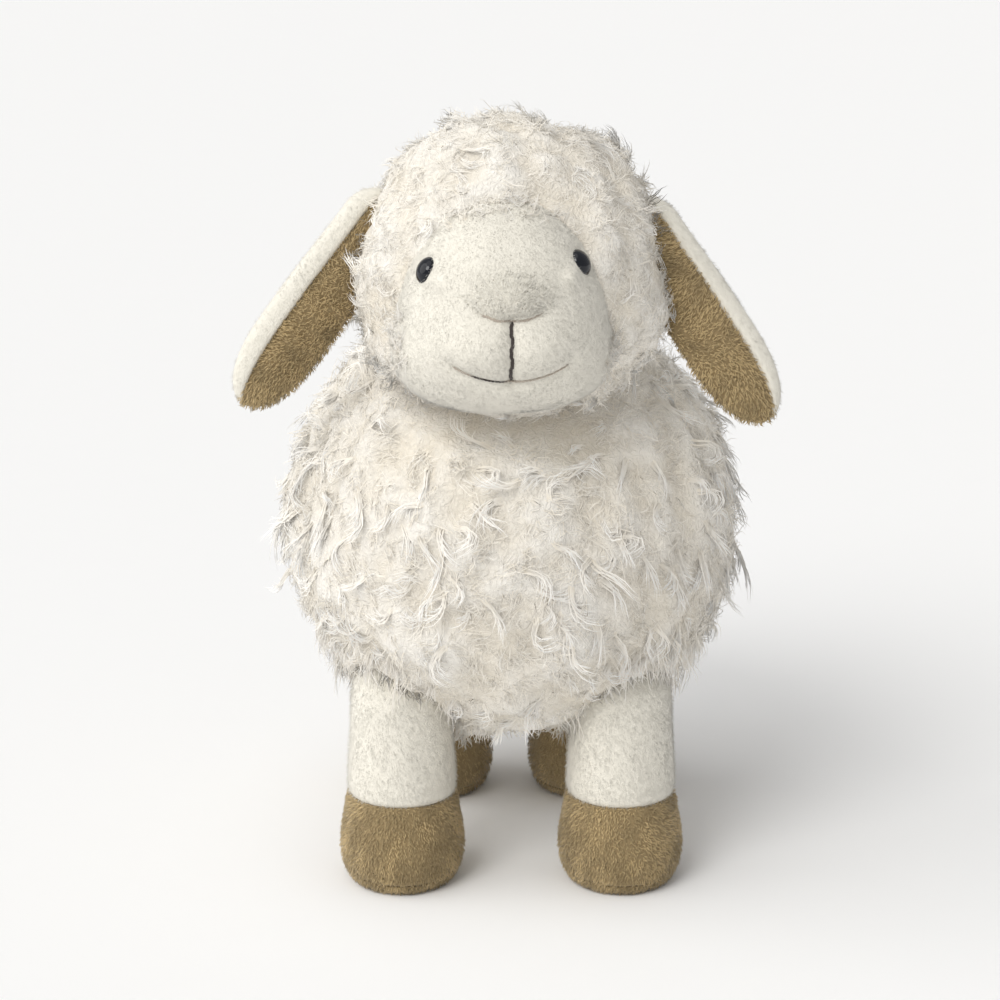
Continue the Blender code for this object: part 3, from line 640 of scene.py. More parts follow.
def round_limb(name, around, over, section, stops, finish):
    """A closed limb on a ball, with the outline that section gives.

    Stops are shares of the way from its foot, with their height and inset share.
    """
    shares, heights, fills = np.array(stops).T

    def place(ways):
        share = 1 - np.arccos(np.clip(ways[:, 2], -1, 1)) / math.pi
        turn = np.arctan2(ways[:, 1], ways[:, 0])
        height, fill = np.interp(share, shares, heights), np.interp(share, shares, fills)
        return section(turn, height, fill)

    return ball(name, around, over, place, finish)


def surface(obj):
    """Triangles of a mesh: points, corners, point normals and areas.

    Blender lists a ball's faces in another order each time, so they are put in order by their corners.
    """
    mesh = obj.data
    points = np.empty(len(mesh.vertices) * 3)
    mesh.vertices.foreach_get("co", points)
    points = points.reshape(-1, 3)
    fans = []
    for face in mesh.polygons:
        ring = list(face.vertices)
        first = ring.index(min(ring))
        ring = ring[first:] + ring[:first]
        fans += [(ring[0], ring[i], ring[i + 1]) for i in range(1, len(ring) - 1)]
    corners = np.array(sorted(fans))
    a, b, c = (points[corners[:, i]] for i in range(3))
    outward = np.cross(b - a, c - a)
    normals = np.zeros_like(points)
    for i in range(3):
        np.add.at(normals, corners[:, i], outward)
    return points, unit(normals), corners, np.linalg.norm(outward, axis=1) / 2


def scatter(obj, count, seed, wanted=None):
    """Random places on a mesh and their normals. Wanted says how likely each one is kept."""
    points, normals, corners, areas = surface(obj)
    rng = np.random.default_rng(seed)
    chosen = rng.choice(len(areas), size=count * (3 if wanted else 1), p=areas / areas.sum())
    a, b = rng.random((2, len(chosen)))
    over = a + b > 1
    a[over], b[over] = 1 - a[over], 1 - b[over]
    weights = np.stack((1 - a - b, a, b), -1)[..., None]
    places = (points[corners[chosen]] * weights).sum(1)
    outward = unit((normals[corners[chosen]] * weights).sum(1))
    if wanted:
        kept = rng.random(len(places)) < wanted(places, outward)
        places, outward = places[kept][:count], outward[kept][:count]
    return places, outward


def area_of(obj):
    return surface(obj)[3].sum()


def add_strands(name, paths, radii, tone, finish, outward=None, softness=0.65):
    """One mesh of closed three-sided strands that taper to a point. Paths are (strands, points, 3).

    With the skin's outward ways, the strands are shaded softly, as light passes from fibre to fibre.
    """
    count, steps = paths.shape[:2]
    along = np.empty_like(paths)
    along[:, 1:-1] = paths[:, 2:] - paths[:, :-2]
    along[:, 0], along[:, -1] = paths[:, 1] - paths[:, 0], paths[:, -1] - paths[:, -2]
    along = unit(along)
    rng = np.random.default_rng(len(name) + count)
    side = unit(flattened(np.repeat(rng.normal(size=(count, 1, 3)), steps, 1), along))
    other = np.cross(along, side)
    rings = steps - 1
    verts = np.empty((count, rings * 3 + 1, 3))
    for i in range(3):
        turn = math.tau * i / 3
        reach = radii[:, :rings, None]
        out = side[:, :rings] * math.cos(turn) + other[:, :rings] * math.sin(turn)
        verts[:, i : rings * 3 : 3] = paths[:, :rings] + out * reach
    verts[:, -1] = paths[:, -1]
    if outward is not None:
        middles = np.repeat(paths[:, :rings], 3, 1)
        round_ways = np.concatenate((unit(verts[:, :-1] - middles), along[:, -1:]), 1)
        shading = unit(outward[:, None] * softness + round_ways * (1 - softness))

    quads = []
    for ring in range(rings - 1):
        for i in range(3):
            j, low, high = (i + 1) % 3, 3 * ring, 3 * ring + 3
            quads.append((low + i, low + j, high + j, high + i))
    last, tip = 3 * (rings - 1), 3 * rings
    tris = [(last + i, last + (i + 1) % 3, tip) for i in range(3)] + [(2, 1, 0)]
    starts = (np.arange(count) * (rings * 3 + 1))[:, None, None]
    loops = [(np.array(tris)[None] + starts).ravel()]
    if quads:
        loops.insert(0, (np.array(quads)[None] + starts).ravel())
    loops = np.concatenate(loops)
    quad_count, tri_count = count * len(quads), count * len(tris)
    first = np.concatenate((np.arange(quad_count) * 4, quad_count * 4 + np.arange(tri_count) * 3))

    mesh = bpy.data.meshes.new(name)
    mesh.vertices.add(verts.size // 3)
    mesh.vertices.foreach_set("co", verts.ravel())
    mesh.loops.add(len(loops))
    mesh.loops.foreach_set("vertex_index", loops.astype(np.int32))
    mesh.polygons.add(len(first))
    mesh.polygons.foreach_set("loop_start", first.astype(np.int32))
    mesh.update(calc_edges=True)
    mesh.polygons.foreach_set("use_smooth", np.ones(len(first), bool))
    if outward is not None:
        mesh.normals_split_custom_set_from_vertices(shading.reshape(-1, 3))
    pile = np.append(np.repeat(np.arange(rings) / rings, 3), 1.0)
    for key, values in (("pile", np.tile(pile, count)), ("tone", np.repeat(tone, rings * 3 + 1))):
        mesh.attributes.new(key, "FLOAT", "POINT").data.foreach_set("value", values.astype(np.float32))
    mesh.materials.append(finish_of(finish))
    obj = bpy.data.objects.new(name, mesh)
    bpy.context.scene.collection.objects.link(obj)
    return obj


def strand_triangles(steps):
    return 6 * (steps - 2) + 4


class Curls:
    """The shape of one kind of lock, in metres and radians.

    Bunch is the radius of its root, rise its slopes at the root and the tip, curl how far it turns,
    clump how tightly its fibres close and frizz how far they stray. Thickness is a share of a fibre's
    radius. Waves are the size and the weight of the broad swirls that the locks follow.
    """

    # painted_light lightens every fibre of a lock as painted light; below 0 it darkens them as painted shade.
    fall, spread, softness, painted_light, waves, random = 0.0, 0.3, 0.65, 0.0, None, 1.0

    def __init__(self, seed, lean_seed, fibres, steps, bunch, rise, curl, clump, frizz, thickness, **more):
        self.seed, self.lean_seed, self.fibres, self.steps = seed, lean_seed, fibres, steps
        self.bunch, self.rise, self.curl, self.clump = bunch, rise, curl, clump
        self.frizz, self.thickness = frizz, thickness
        self.__dict__.update(more)


DOWN = {"curl": 2.9, "rise": (0.36, -0.10), "random": 0.7, "softness": 0.93}
WISPS = {"curl": 2.3, "clump": 0.88, "spread": 0.4, "softness": 0.9}
# The down is darkened as painted shade under the long locks; the wisps and the locks over the ears are
# lightened as painted light, as if they caught more light.
CURLS = {
    "body_down": Curls(
        21, 4, 8, 4, bunch=0.0030, clump=0.45, frizz=0.0010, thickness=0.68, waves=(0.016, 0.8),
        painted_light=-0.40, **DOWN
    ),
    "body_wisps": Curls(
        23, 6, 13, 7, bunch=0.0014, rise=(0.42, -0.10), frizz=0.0006, thickness=0.95, fall=0.12,
        waves=(0.030, 0.5), random=0.5, painted_light=0.6, **WISPS
    ),
    "body_hem": Curls(
        27, 28, 10, 5, 0.0018, (0.60, 0.20), 1.3, 0.5, 0.0009, 0.7, fall=1.6, random=0.3, softness=0.9
    ),
    "neck_wool": Curls(91, 92, 12, 4, 0.002, (1.2, 0.6), 1.6, 0.4, 0.001, 1.0),
    "head_down": Curls(
        51, 52, 8, 4, bunch=0.0026, clump=0.42, frizz=0.0008, thickness=0.60, waves=(0.013, 0.8),
        painted_light=-0.2, **DOWN
    ),
    "head_wisps": Curls(
        55, 56, 10, 6, bunch=0.0011, rise=(0.34, -0.12), frizz=0.0005, thickness=0.75, fall=0.10,
        waves=(0.020, 0.8), random=0.7, painted_light=0.4, **WISPS
    ),
    "head_temples": Curls(
        59, 60, 14, 6, 0.0014, (0.25, 0.15), 1.5, 0.8, 0.0006, 0.8, fall=0.1, spread=0.35,
        random=0.35, softness=0.95, painted_light=0.6
    ),
    "head_brim": Curls(57, 58, 10, 5, 0.0016, (0.75, -0.05), 2.4, 0.4, 0.0009, 0.62, softness=0.93),
    "tail_wool": Curls(31, 32, 10, 5, 0.0018, (0.55, 0.0), 1.6, 0.6, 0.0009, 1.0, random=0.5, softness=0.6),
}


def dress(obj, slot, body, *nodes, padding=None):
    """Puts a piece on its body and hides the imported nodes that it stands in for."""
    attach(obj, body)
    if nodes:
        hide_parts(*nodes)
    return obj


class Wool:
    """Curly wool on a skin. Each lock is a bunch of fibres that curves over it and closes to its tip."""

    SLOPE_SPREAD, SINK, SINK_SHARE, TIGHTEST = 0.16, 0.0006, 0.12, 0.96
    TAPER_PLACES, TAPER = (0, 0.3, 0.7, 1), (0.9, 1.0, 0.75, 0.0)

    def __init__(self, name, skin, locks, wanted=None):
        self.name, self.curls = name, CURLS[name]
        self.rng = np.random.default_rng(self.curls.seed)
        self.places, self.normals = scatter(skin, locks, self.curls.seed, wanted)
        self.mine = np.repeat(np.arange(len(self.places)), self.curls.fibres)

    def ruffled(self, way):
        """A way for each lock, with broad waves and chance added to it."""
        curls = self.curls
        if curls.waves:
            size, weight = curls.waves
            way = way + drift(self.places, size, curls.lean_seed + 1) * weight
        chance = np.random.default_rng(curls.lean_seed).normal(size=self.places.shape)
        return way + chance * curls.random

    def grow(self, length, way):
        """Paths, radii and tones of the fibres, for locks of a length that lean a way over the skin."""
        curls, rng, mine, normals = self.curls, self.rng, self.mine, self.normals
        locks, steps, spread = len(self.places), curls.steps, curls.spread
        ahead = unit(flattened(self.ruffled(way), normals))
        aside = np.cross(normals, ahead)
        size = length * rng.uniform(1 - spread, 1 + spread, locks)
        bend = curls.curl * rng.uniform(0.35, 1.0, locks) * rng.choice((-1.0, 1.0), locks)
        sway = curls.curl * rng.uniform(-0.5, 0.5, locks)
        slopes = np.stack([rng.normal(slope, self.SLOPE_SPREAD, locks) for slope in curls.rise])
        path = [np.zeros((locks, 3))]
        for i in range(1, steps):
            share = (i - 0.5) / (steps - 1)
            heading = bend * (share - 0.3) + sway * math.sin(share * 5.5)
            slope = slopes[0] + (slopes[1] - slopes[0]) * share
            level = ahead * np.cos(heading)[:, None] + aside * np.sin(heading)[:, None]
            step = level * np.cos(slope)[:, None] + normals * np.sin(slope)[:, None]
            step = unit(step - UP * curls.fall * share)
            path.append(path[-1] + step * (size / (steps - 1))[:, None])
        path = np.stack(path, 1)

        count = len(mine)
        turn, reach = rng.uniform(0, math.tau, count), curls.bunch * np.sqrt(rng.random(count))
        start = ahead[mine] * (np.cos(turn) * reach)[:, None]
        start += aside[mine] * (np.sin(turn) * reach)[:, None]
        start -= normals[mine] * (self.SINK + reach * self.SINK_SHARE)[:, None]
        own = rng.uniform(1 - spread, 1.05, count)[:, None]
        tight = np.clip(curls.clump * rng.uniform(0.7, 1.15, count), 0, self.TIGHTEST)
        first, second = rng.normal(size=(2, count, 3))
        paths = np.empty((count, steps, 3))
        for i in range(steps):
            share = i / (steps - 1)
            pull = (tight * smooth_step(share * 1.1))[:, None]
            loose = first * math.sin(share * 4.7) + second * (1 - math.cos(share * 4.1))
            stray = loose * curls.frizz * share
            paths[:, i] = self.places[mine] + start * (1 - pull) + path[mine, i] * own + stray
        taper = np.interp(np.linspace(0, 1, steps), self.TAPER_PLACES, self.TAPER)
        radius = sheep().pile.fibre_radius * curls.thickness
        radii = radius * rng.uniform(0.7, 1.25, count)[:, None] * taper[None]
        tone = np.clip(rng.uniform(0, 0.7, locks)[mine] + rng.uniform(0, 0.4, count), 0, 1)
        # The tone differs at random, and the lock kind's painted_light is added to it.
        return paths, radii, np.clip(tone + curls.painted_light, 0, 1)

    def cover(self, length, way, body, *nodes, order=None, facing=None):
        """Adds the locks as pieces under the limit of faces, split by their order, which is X at first.

        With a facing, they are shaded as if the skin looked that way.
        """
        paths, radii, tone = self.grow(length, way)
        order = (self.places[:, 0] if order is None else order(self.places))[self.mine]
        normals = self.normals if facing is None else unit(self.normals * 0.3 + facing)
        pieces = math.ceil(len(paths) * strand_triangles(self.curls.steps) / MOST_TRIANGLES)
        for i, chosen in enumerate(np.array_split(np.argsort(order, kind="stable"), pieces)):
            label = f"{self.name}_{i + 1}" if pieces > 1 else self.name
            strands = paths[chosen], radii[chosen], tone[chosen]
            outward = normals[self.mine[chosen]]
            obj = add_strands(label, *strands, "wool", outward, self.curls.softness)
            dress(obj, "cream_wool", body, *nodes)


NAPS = {
    "cream": {"ruffle": 0.28, "thickness": 0.85, "contrast": 0.22, "softness": 0.92},
    "tan": {"ruffle": 0.45, "thickness": 1.1, "contrast": 1.0, "softness": 0.5},
}


def add_nap(name, obj, tint, density, body, lean, seed, length=1.0, wanted=None, tuft=0.0, painted_light=0.0):
    """Short brushed pile on a form. Lean gives its way at each root, and tufts close to their tips."""
    pile, style = sheep().pile, NAPS[tint]
    roots, normals = scatter(obj, int(area_of(obj) * 1e6 * density), seed, wanted)
    rng = np.random.default_rng(seed + 7)
    count = len(roots)
    chosen = np.arange(count)
    if tuft:
        middles = roots[: max(1, int(count / (density * (tuft * 1000) ** 2)))]
        tree = KDTree(len(middles))
        for i, middle in enumerate(middles):
            tree.insert(middle, i)
        tree.balance()
        chosen = np.array([tree.find(root)[1] for root in roots])
    ruffle = rng.normal(size=(count, 3)) * style["ruffle"]
    along = unit(flattened(lean(roots, normals) + ruffle[chosen], normals))
    over = rng.uniform(0.45, 0.85, count)[chosen][:, None]
    size = (pile.nap_length * length * rng.uniform(0.7, 1.2, count))[:, None]
    start = roots - normals * 0.0003
    middle = start + unit(normals + along * 0.45) * size * 0.5
    tip = middle + unit(normals * (1 - over) + along * over) * size * 0.6
    shade = rng.normal(size=count)
    path, taper = (start, tip), (1.0, 0.0)
    if tuft:
        pull = rng.uniform(0.45, 0.8, count)[:, None]
        tip += (tip[chosen] - tip) * pull
        middle += (middle[chosen] - middle) * pull * 0.4
        shade = shade * 0.5 + shade[chosen] * 0.9
        path, taper = (start, middle, tip), (1.1, 1.0, 0.0)
    thick = pile.nap_radius * rng.uniform(0.8, 1.3, count)[:, None] * style["thickness"]
    shade = 0.3 * drift(roots, 0.006, seed + 3)[:, 0] + 0.22 * shade
    # painted_light lifts the tone as painted light.
    tone = np.clip(0.5 + painted_light + style["contrast"] * shade, 0, 1)
    radii = np.array(taper)[None] * thick
    hairs = add_strands(name, np.stack(path, 1), radii, tone, tint + "_hair", normals, style["softness"])
    return dress(hairs, tint + "_plush", body)


def downward(points, normals):
    return -UP + drift(points, 0.012, 11) * 0.3


class SheepStep:
    """What the operators share."""

    bl_options = {"REGISTER", "UNDO"}


class SHEEP_OT_stage(SheepStep, bpy.types.Operator):
    """Lays the pale floor and sets the light and the camera"""

    bl_idname = "sheep.stage"
    bl_label = "Stage"

    def execute(self, context):
        studio = context.scene.sheep.studio
        context.scene.view_settings.view_transform = "Standard"
        bpy.ops.object.select_all(action="DESELECT")
        bpy.ops.mesh.primitive_plane_add(size=24.0, location=(0.0, 4.0, 0.0))
        floor = context.object
        floor.name = "studio_floor"
        bpy.ops.object.transform_apply(location=True)
        paper = Finish("floor_paper", roughness=0.9)
        grain = paper.noise(0.02, 2.0)
        tint = context.scene.sheep.colours.floor
        paper.set(base_color=paper.mixed(grain, shaded(tint, 0.995), tint[:]))
        floor.data.materials.append(paper.material)

        world = bpy.data.worlds.new("studio_light")
        world.use_nodes = True
        world.node_tree.nodes["Background"].inputs["Color"].default_value = (1.0, 1.0, 1.0, 1.0)
        world.node_tree.nodes["Background"].inputs["Strength"].default_value = studio.sky
        context.scene.world = world

        lights = (
            ("key_light", studio.sun, 30, (0.60, 0.98, -1.0)),
            ("side_light", studio.side, 60, (1.0, 0.15, -0.55)),
            ("top_light", studio.top, 50, (0.25, 0.15, -1.0)),
        )
        for name, strength, width, way in lights:
            light = bpy.data.lights.new(name, "SUN")
            light.energy, light.angle, light.color = strength, math.radians(width), (1.0, 0.99, 0.97)
            lamp = bpy.data.objects.new(name, light)
            lamp.rotation_euler = Vector(way).to_track_quat("-Z", "Y").to_euler()
            context.scene.collection.objects.link(lamp)

        lens = bpy.data.cameras.new("camera")
        lens.lens, lens.sensor_width = studio.camera_lens, 36.0
        lens.clip_start, lens.clip_end = 0.05, 60.0
        camera = bpy.data.objects.new("camera", lens)
        tilt, distance = studio.camera_tilt, studio.camera_distance
        aim = Vector((studio.camera_aside, 0.0, studio.camera_height))
        camera.location = aim + distance * Vector((0.0, -math.cos(tilt), math.sin(tilt)))
        camera.rotation_euler = (math.radians(90) - tilt, 0.0, 0.0)
        context.scene.collection.objects.link(camera)
        context.scene.camera = camera
        return {"FINISHED"}


def woolly_skin(name, form, pile, seed, seats, body, node):
    """A dense matted skin under the wool, lumpy as felt, with its height kept for painted shade in its low
    places.

    Seats pushes the skin's points in where other parts of the sheep sit.
    """

    def place(ways):
        points = form.points(ways, -pile)
        points += ways * lumps(points, seed)[:, None]
        return seats(points)

    skin = ball(name, 176, 120, place, "backing")
    # The height becomes the backing's painted shade, darker in the low places.
    height = np.clip(0.5 + lumps(surface(skin)[0], seed) / 0.0030, 0, 1).astype(np.float32)
    skin.data.attributes.new("pile", "FLOAT", "POINT").data.foreach_set("value", height)
    return dress(skin, "cream_wool", body, node, padding=0.85)


class SHEEP_OT_body(SheepStep, bpy.types.Operator):
    """Stuffs the body, with seats for the neck, the legs and the tail"""

    bl_idname = "sheep.body"
    bl_label = "Body"
    SEED, LEG_OPENING, TAIL_OPENING, TAIL_ROOT = 17, math.radians(16), math.radians(48), 0.0085

    def execute(self, context):
        it = sheep()

        def seats(points):
            for hip in it.hips.values():
                radius = it.forms.hip_radius + it.GAP
                points = seated(points, hip, -UP, radius, 1 / math.tan(self.LEG_OPENING))
            opening = 1 / math.tan(self.TAIL_OPENING)
            points = seated(points, it.tail_seat, it.tail_way, self.TAIL_ROOT + it.GAP, opening)
            return seated(points, it.neck_pivot, it.neck_axis, it.forms.neck_radius + it.GAP, -0.001)

        pile = it.pile.body_pile
        woolly_skin("body_backing", it.body, pile, self.SEED, seats, "torso", "body_stuffing")
        return {"FINISHED"}


class SHEEP_OT_body_wool(SheepStep, bpy.types.Operator):
    """Grows the body's matted down and the long locks over it"""

    bl_idname = "sheep.body_wool"
    bl_label = "Body wool"
    NECK_CLEAR, NECK_DEPTH, SEAT_DEPTH = -0.0035, 0.003, 0.004
    BELLY, UNDER, HEM_UNDER = -0.66, -0.85, -0.8
    FRONT_HEM, HIND_HEM = (0.032, 0.030), (0.022, 0.006)

    def execute(self, context):
        it = sheep()
        pile, skin = it.pile, bpy.data.objects["body_backing"]
        home = "torso", "body_fleece"

        def wanted(points, normals):
            keep = np.ones(len(points))
            near_neck = it.above_neck(points) > self.NECK_CLEAR
            keep[near_neck & (it.body.inside(points, -pile.body_pile - self.NECK_DEPTH) < 1)] = 0
            keep[it.body.inside(points, -pile.body_pile - self.SEAT_DEPTH) < 1] = 0
            thin = np.random.default_rng(3).random(len(points)) < 0.5
            keep[(normals[:, 2] < self.UNDER) & thin] = 0
            return keep

        def around(places):
            return np.arctan2(places[:, 1] - it.body.centre[1], places[:, 0])

        def shorter_under(wool, size, slopes, shares):
            return size * np.interp(wool.normals[:, 2], slopes, shares)

        down = Wool("body_down", skin, pile.body_locks, wanted)
        size = shorter_under(down, pile.body_down, (-0.9, -0.1), (0.5, 1.0))
        down.cover(size, -UP * 0.7, *home, order=around)

        def above_belly(points, normals):
            return wanted(points, normals) * (normals[:, 2] > self.BELLY)

        wisps = Wool("body_wisps", skin, pile.body_wisps, above_belly)
        size = shorter_under(wisps, pile.body_wisp, (self.BELLY, 0.1), (0.55, 1.0))
        wisps.cover(size, -UP * 0.9, *home, order=around)

        def near_hips(points, normals):
            keep = np.zeros(len(points))
            for hip in it.hips.values():
                across = np.linalg.norm((points - hip)[:, :2], axis=1)
                wide, tall = self.FRONT_HEM if hip[1] < 0 else self.HIND_HEM
                keep[(across < wide) & (points[:, 2] < hip[2] + tall)] = 1
            return keep * wanted(points, normals) * (normals[:, 2] > self.HEM_UNDER)

        hem = Wool("body_hem", skin, pile.hem_locks, near_hips)
        size = shorter_under(hem, pile.hem_length, (-0.75, -0.25), (0.4, 1.0))
        hem.cover(size, -UP, *home, order=around)
        return {"FINISHED"}


class SHEEP_OT_neck(SheepStep, bpy.types.Operator):
    """Stuffs the neck and grows its wool"""

    bl_idname = "sheep.neck"
    bl_label = "Neck"
    LOCKS, LOCK_LENGTH, BAND, HALF_BAND = 90, 0.008, 0.002, 0.005

    def execute(self, context):
        it = sheep()
        radius = it.forms.neck_radius
        skin = ball("neck_backing", 40, 24, lambda ways: it.neck_pivot + ways * radius, "backing")
        dress(skin, "cream_wool", "neck", "neck_stuffing", padding=0.8)

        def wanted(points, normals):
            return np.where(np.abs(it.above_neck(points) - self.BAND) < self.HALF_BAND, 1.0, 0.0)

        Wool("neck_wool", skin, self.LOCKS, wanted).cover(self.LOCK_LENGTH, 0.0, "neck")
        return {"FINISHED"}


class SHEEP_OT_head(SheepStep, bpy.types.Operator):
    """Stuffs the hood of the head, with a seat for the neck and a slot for each ear"""

    bl_idname = "sheep.head"
    bl_label = "Head"
    SEED = 37

    def execute(self, context):
        it = sheep()

        def seats(points):
            radius, tilt = it.forms.neck_radius + it.GAP, -math.tan(it.forms.nod_room)
            points = seated(points, it.neck_pivot, -it.neck_axis, radius, tilt)
            for ear in it.ears.values():
                points = ear.slotted(points, it.GAP)
            return points

        pile = it.pile.head_pile
        woolly_skin("head_backing", it.head, pile, self.SEED, seats, "head", "head_stuffing")
        return {"FINISHED"}


class SHEEP_OT_head_wool(SheepStep, bpy.types.Operator):
    """Grows the shorter wool of the hood, round the face and over the ears' roots"""

    bl_idname = "sheep.head_wool"
    bl_label = "Head wool"
    SEAT_DEPTH, FACE_CLEAR, SHOWN_EDGE = 0.0035, 0.0002, 0.98
    TEMPLE_OUT, TEMPLE_REACH = 0.012, 0.022
    TEMPLE_WAY, TEMPLE_FACING = np.array((0.8, -0.3, -0.5)), np.array((0.0, -1.0, 0.5))

    def execute(self, context):
        it = sheep()
        pile, skin = it.pile, bpy.data.objects["head_backing"]
        home = "head", "head_fleece"

        def wanted(points, normals):
            keep = np.ones(len(points))
            bare = it.face.inside(points, self.FACE_CLEAR) < 1
            keep[bare | (it.face.shown(points) < self.SHOWN_EDGE)] = 0
            keep[it.head.inside(points, -pile.head_pile - self.SEAT_DEPTH) < 1] = 0
            return keep

        for name, locks, size in (
            ("head_down", pile.head_locks, pile.head_down),
            ("head_wisps", pile.head_wisps, pile.head_wisp),
        ):
            wool = Wool(name, skin, locks, wanted)
            away = wool.places - it.face.centre
            away[:, 1] *= 0.4
            wool.cover(size, unit(away) * 0.4 - UP * 0.2, *home)

        def near_ears(points, normals):
            keep = np.zeros(len(points))
            for ear in it.ears.values():
                away = np.linalg.norm(points - ear.pivot - ear.tip * self.TEMPLE_OUT, axis=1)
                keep[(away < self.TEMPLE_REACH) & (points[:, 1] < ear.pivot[1])] = 1
            return keep * wanted(points, normals)

        temple = Wool("head_temples", skin, pile.temple_locks, near_ears)
        outward = np.sign(temple.places[:, :1]) * self.TEMPLE_WAY
        temple.cover(pile.temple_length, outward, *home, facing=self.TEMPLE_FACING)
        return {"FINISHED"}


class SHEEP_OT_face(SheepStep, bpy.types.Operator):
    """Stuffs the face, draws it in along its sewn lines and brushes its pile"""

    bl_idname = "sheep.face"
    bl_label = "Face"
    COVERED_DEPTH, BRIM_DEPTH, BRIM_EDGE, BRIM_LOW = 0.010, 0.004, 0.96, 0.0210
    NOSE_RADIUS, NOSE_TALL, NOSE_MIDDLE, FAN_MIDDLE = 0.0150, 0.0085, 0.0115, 0.004

    def execute(self, context):
        it = sheep()
        form, pile = it.face, it.pile
        face = ball("face_cloth", 128, 96, form.sewn, "cream_cloth")
        dress(face, "cream_plush", "head", "face_panel", padding=0.9)

        def lean(points, normals):
            at = form.at(points)
            outward = np.stack((at[:, 0] * 30, np.zeros(len(at)), -0.9 - at[:, 2] * 5), -1)
            return form.turned(outward) + drift(points, 0.010, 61) * 0.5

        def wanted(points, normals):
            return np.where(it.head.inside(points, -self.COVERED_DEPTH) > 1, 1.0, 0.0)

        density = pile.cream_nap * 0.85
        add_nap("face_nap", face, "cream", density, "head", lean, 62, 0.75, wanted)

        def at_edge(points, normals):
            at = form.at(points)
            over_chin = smooth_step((at[:, 2] + self.BRIM_LOW) / 0.006)
            edge = np.clip((form.shown(points) - self.BRIM_EDGE) * 12, 0, 1) * (at[:, 1] < 0)
            return edge * over_chin * (it.head.inside(points, -self.BRIM_DEPTH) > 1)

        brim = Wool("head_brim", face, pile.brim_locks, at_edge)
        inward = unit(flattened(form.centre - brim.places, brim.normals)) * 0.5
        brim.cover(pile.brim_length, inward, "head", "head_fleece")

        def fanned(points, normals):
            at = form.at(points) - np.array((0.0, 0.0, self.FAN_MIDDLE))
            return form.turned(at * np.array((1.0, 0.0, 1.0))) * 90 + drift(points, 0.005, 63) * 0.4

        def over_nose(points, normals):
            at = form.at(points)
            up = (at[:, 2] - self.NOSE_MIDDLE) / self.NOSE_TALL
            near = np.clip((1.2 - np.hypot(at[:, 0] / self.NOSE_RADIUS, up)) * 2, 0, 1)
            return np.where(at[:, 1] < 0, near, 0.0) * (at[:, 2] > form.nose_line(at[:, 0]))

        # The hairs over the nose are made paler, as painted light against the shade among them.
        add_nap("nose_nap", face, "cream", 0.7, "head", fanned, 64, 1.5, over_nose, 0.0011, 0.35)
        return {"FINISHED"}


class FaceTree:
    """Finds points on the front of the face's cloth."""

    def __init__(self):
        points, normals, corners, areas = surface(bpy.data.objects["face_cloth"])
        self.tree = BVHTree.FromPolygons(points.tolist(), corners.tolist())

    def met(self, across, height, sink=0.0):
        """The point of the cloth at a place of the face, moved out of it by so much."""
        form = sheep().face
        start = form.centre + form.turned(np.array((across, -0.2, height)))
        way = form.turned(np.array((0.0, 1.0, 0.0)))
        place, normal = self.tree.ray_cast(Vector(start), Vector(way))[:2]
        return np.array(place) + np.array(normal) * sink


class SHEEP_OT_eyes(SheepStep, bpy.types.Operator):
    """Sets the glossy plastic eyes into the face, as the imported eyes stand"""

    bl_idname = "sheep.eyes"
    bl_label = "Eyes"
    RADIUS, DOME, BACK_SHARE, SINK, TILT, TILT_UP = 0.0048, 0.0036, 0.45, 0.0012, 0.55, (0.85, 0.5)
    SPREADS = {"left": 0.0247, "right": 0.0272}
    HEIGHTS = {"left": 0.0210, "right": 0.0187}

    def execute(self, context):
        face = FaceTree()
        near = self.RADIUS / 2
        for side, sign in SIDES.items():
            spread, height = sign * self.SPREADS[side], self.HEIGHTS[side]
            left, right = (face.met(spread + a, height) for a in (-near, near))
            low, high = (face.met(spread, height + u) for u in (-near, near))
            outward = unit(np.cross(right - left, high - low))
            middle = face.met(spread, height) - outward * self.SINK
            tilt = unit(np.array((sign * self.TILT_UP[0], 0.0, self.TILT_UP[1])))
            outward = Vector(unit(outward + self.TILT * tilt))
            turn = np.array(outward.to_track_quat("Z", "Y").to_matrix())

            def place(ways):
                dome = ways * np.array((self.RADIUS, self.RADIUS, self.DOME))
                dome[:, 2] = np.where(ways[:, 2] < 0, dome[:, 2] * self.BACK_SHARE, dome[:, 2])
                return middle + dome @ turn.T

            eye = ball("eye_dome_" + side, 48, 32, place, "eye")
            dress(eye, "black_plastic", "head", "eye_" + side)
            washer = frame["nodes"]["eye_washer_" + side]
            washer.data.materials.clear()
            washer.data.materials.append(finish_of("washer"))
        return {"FINISHED"}


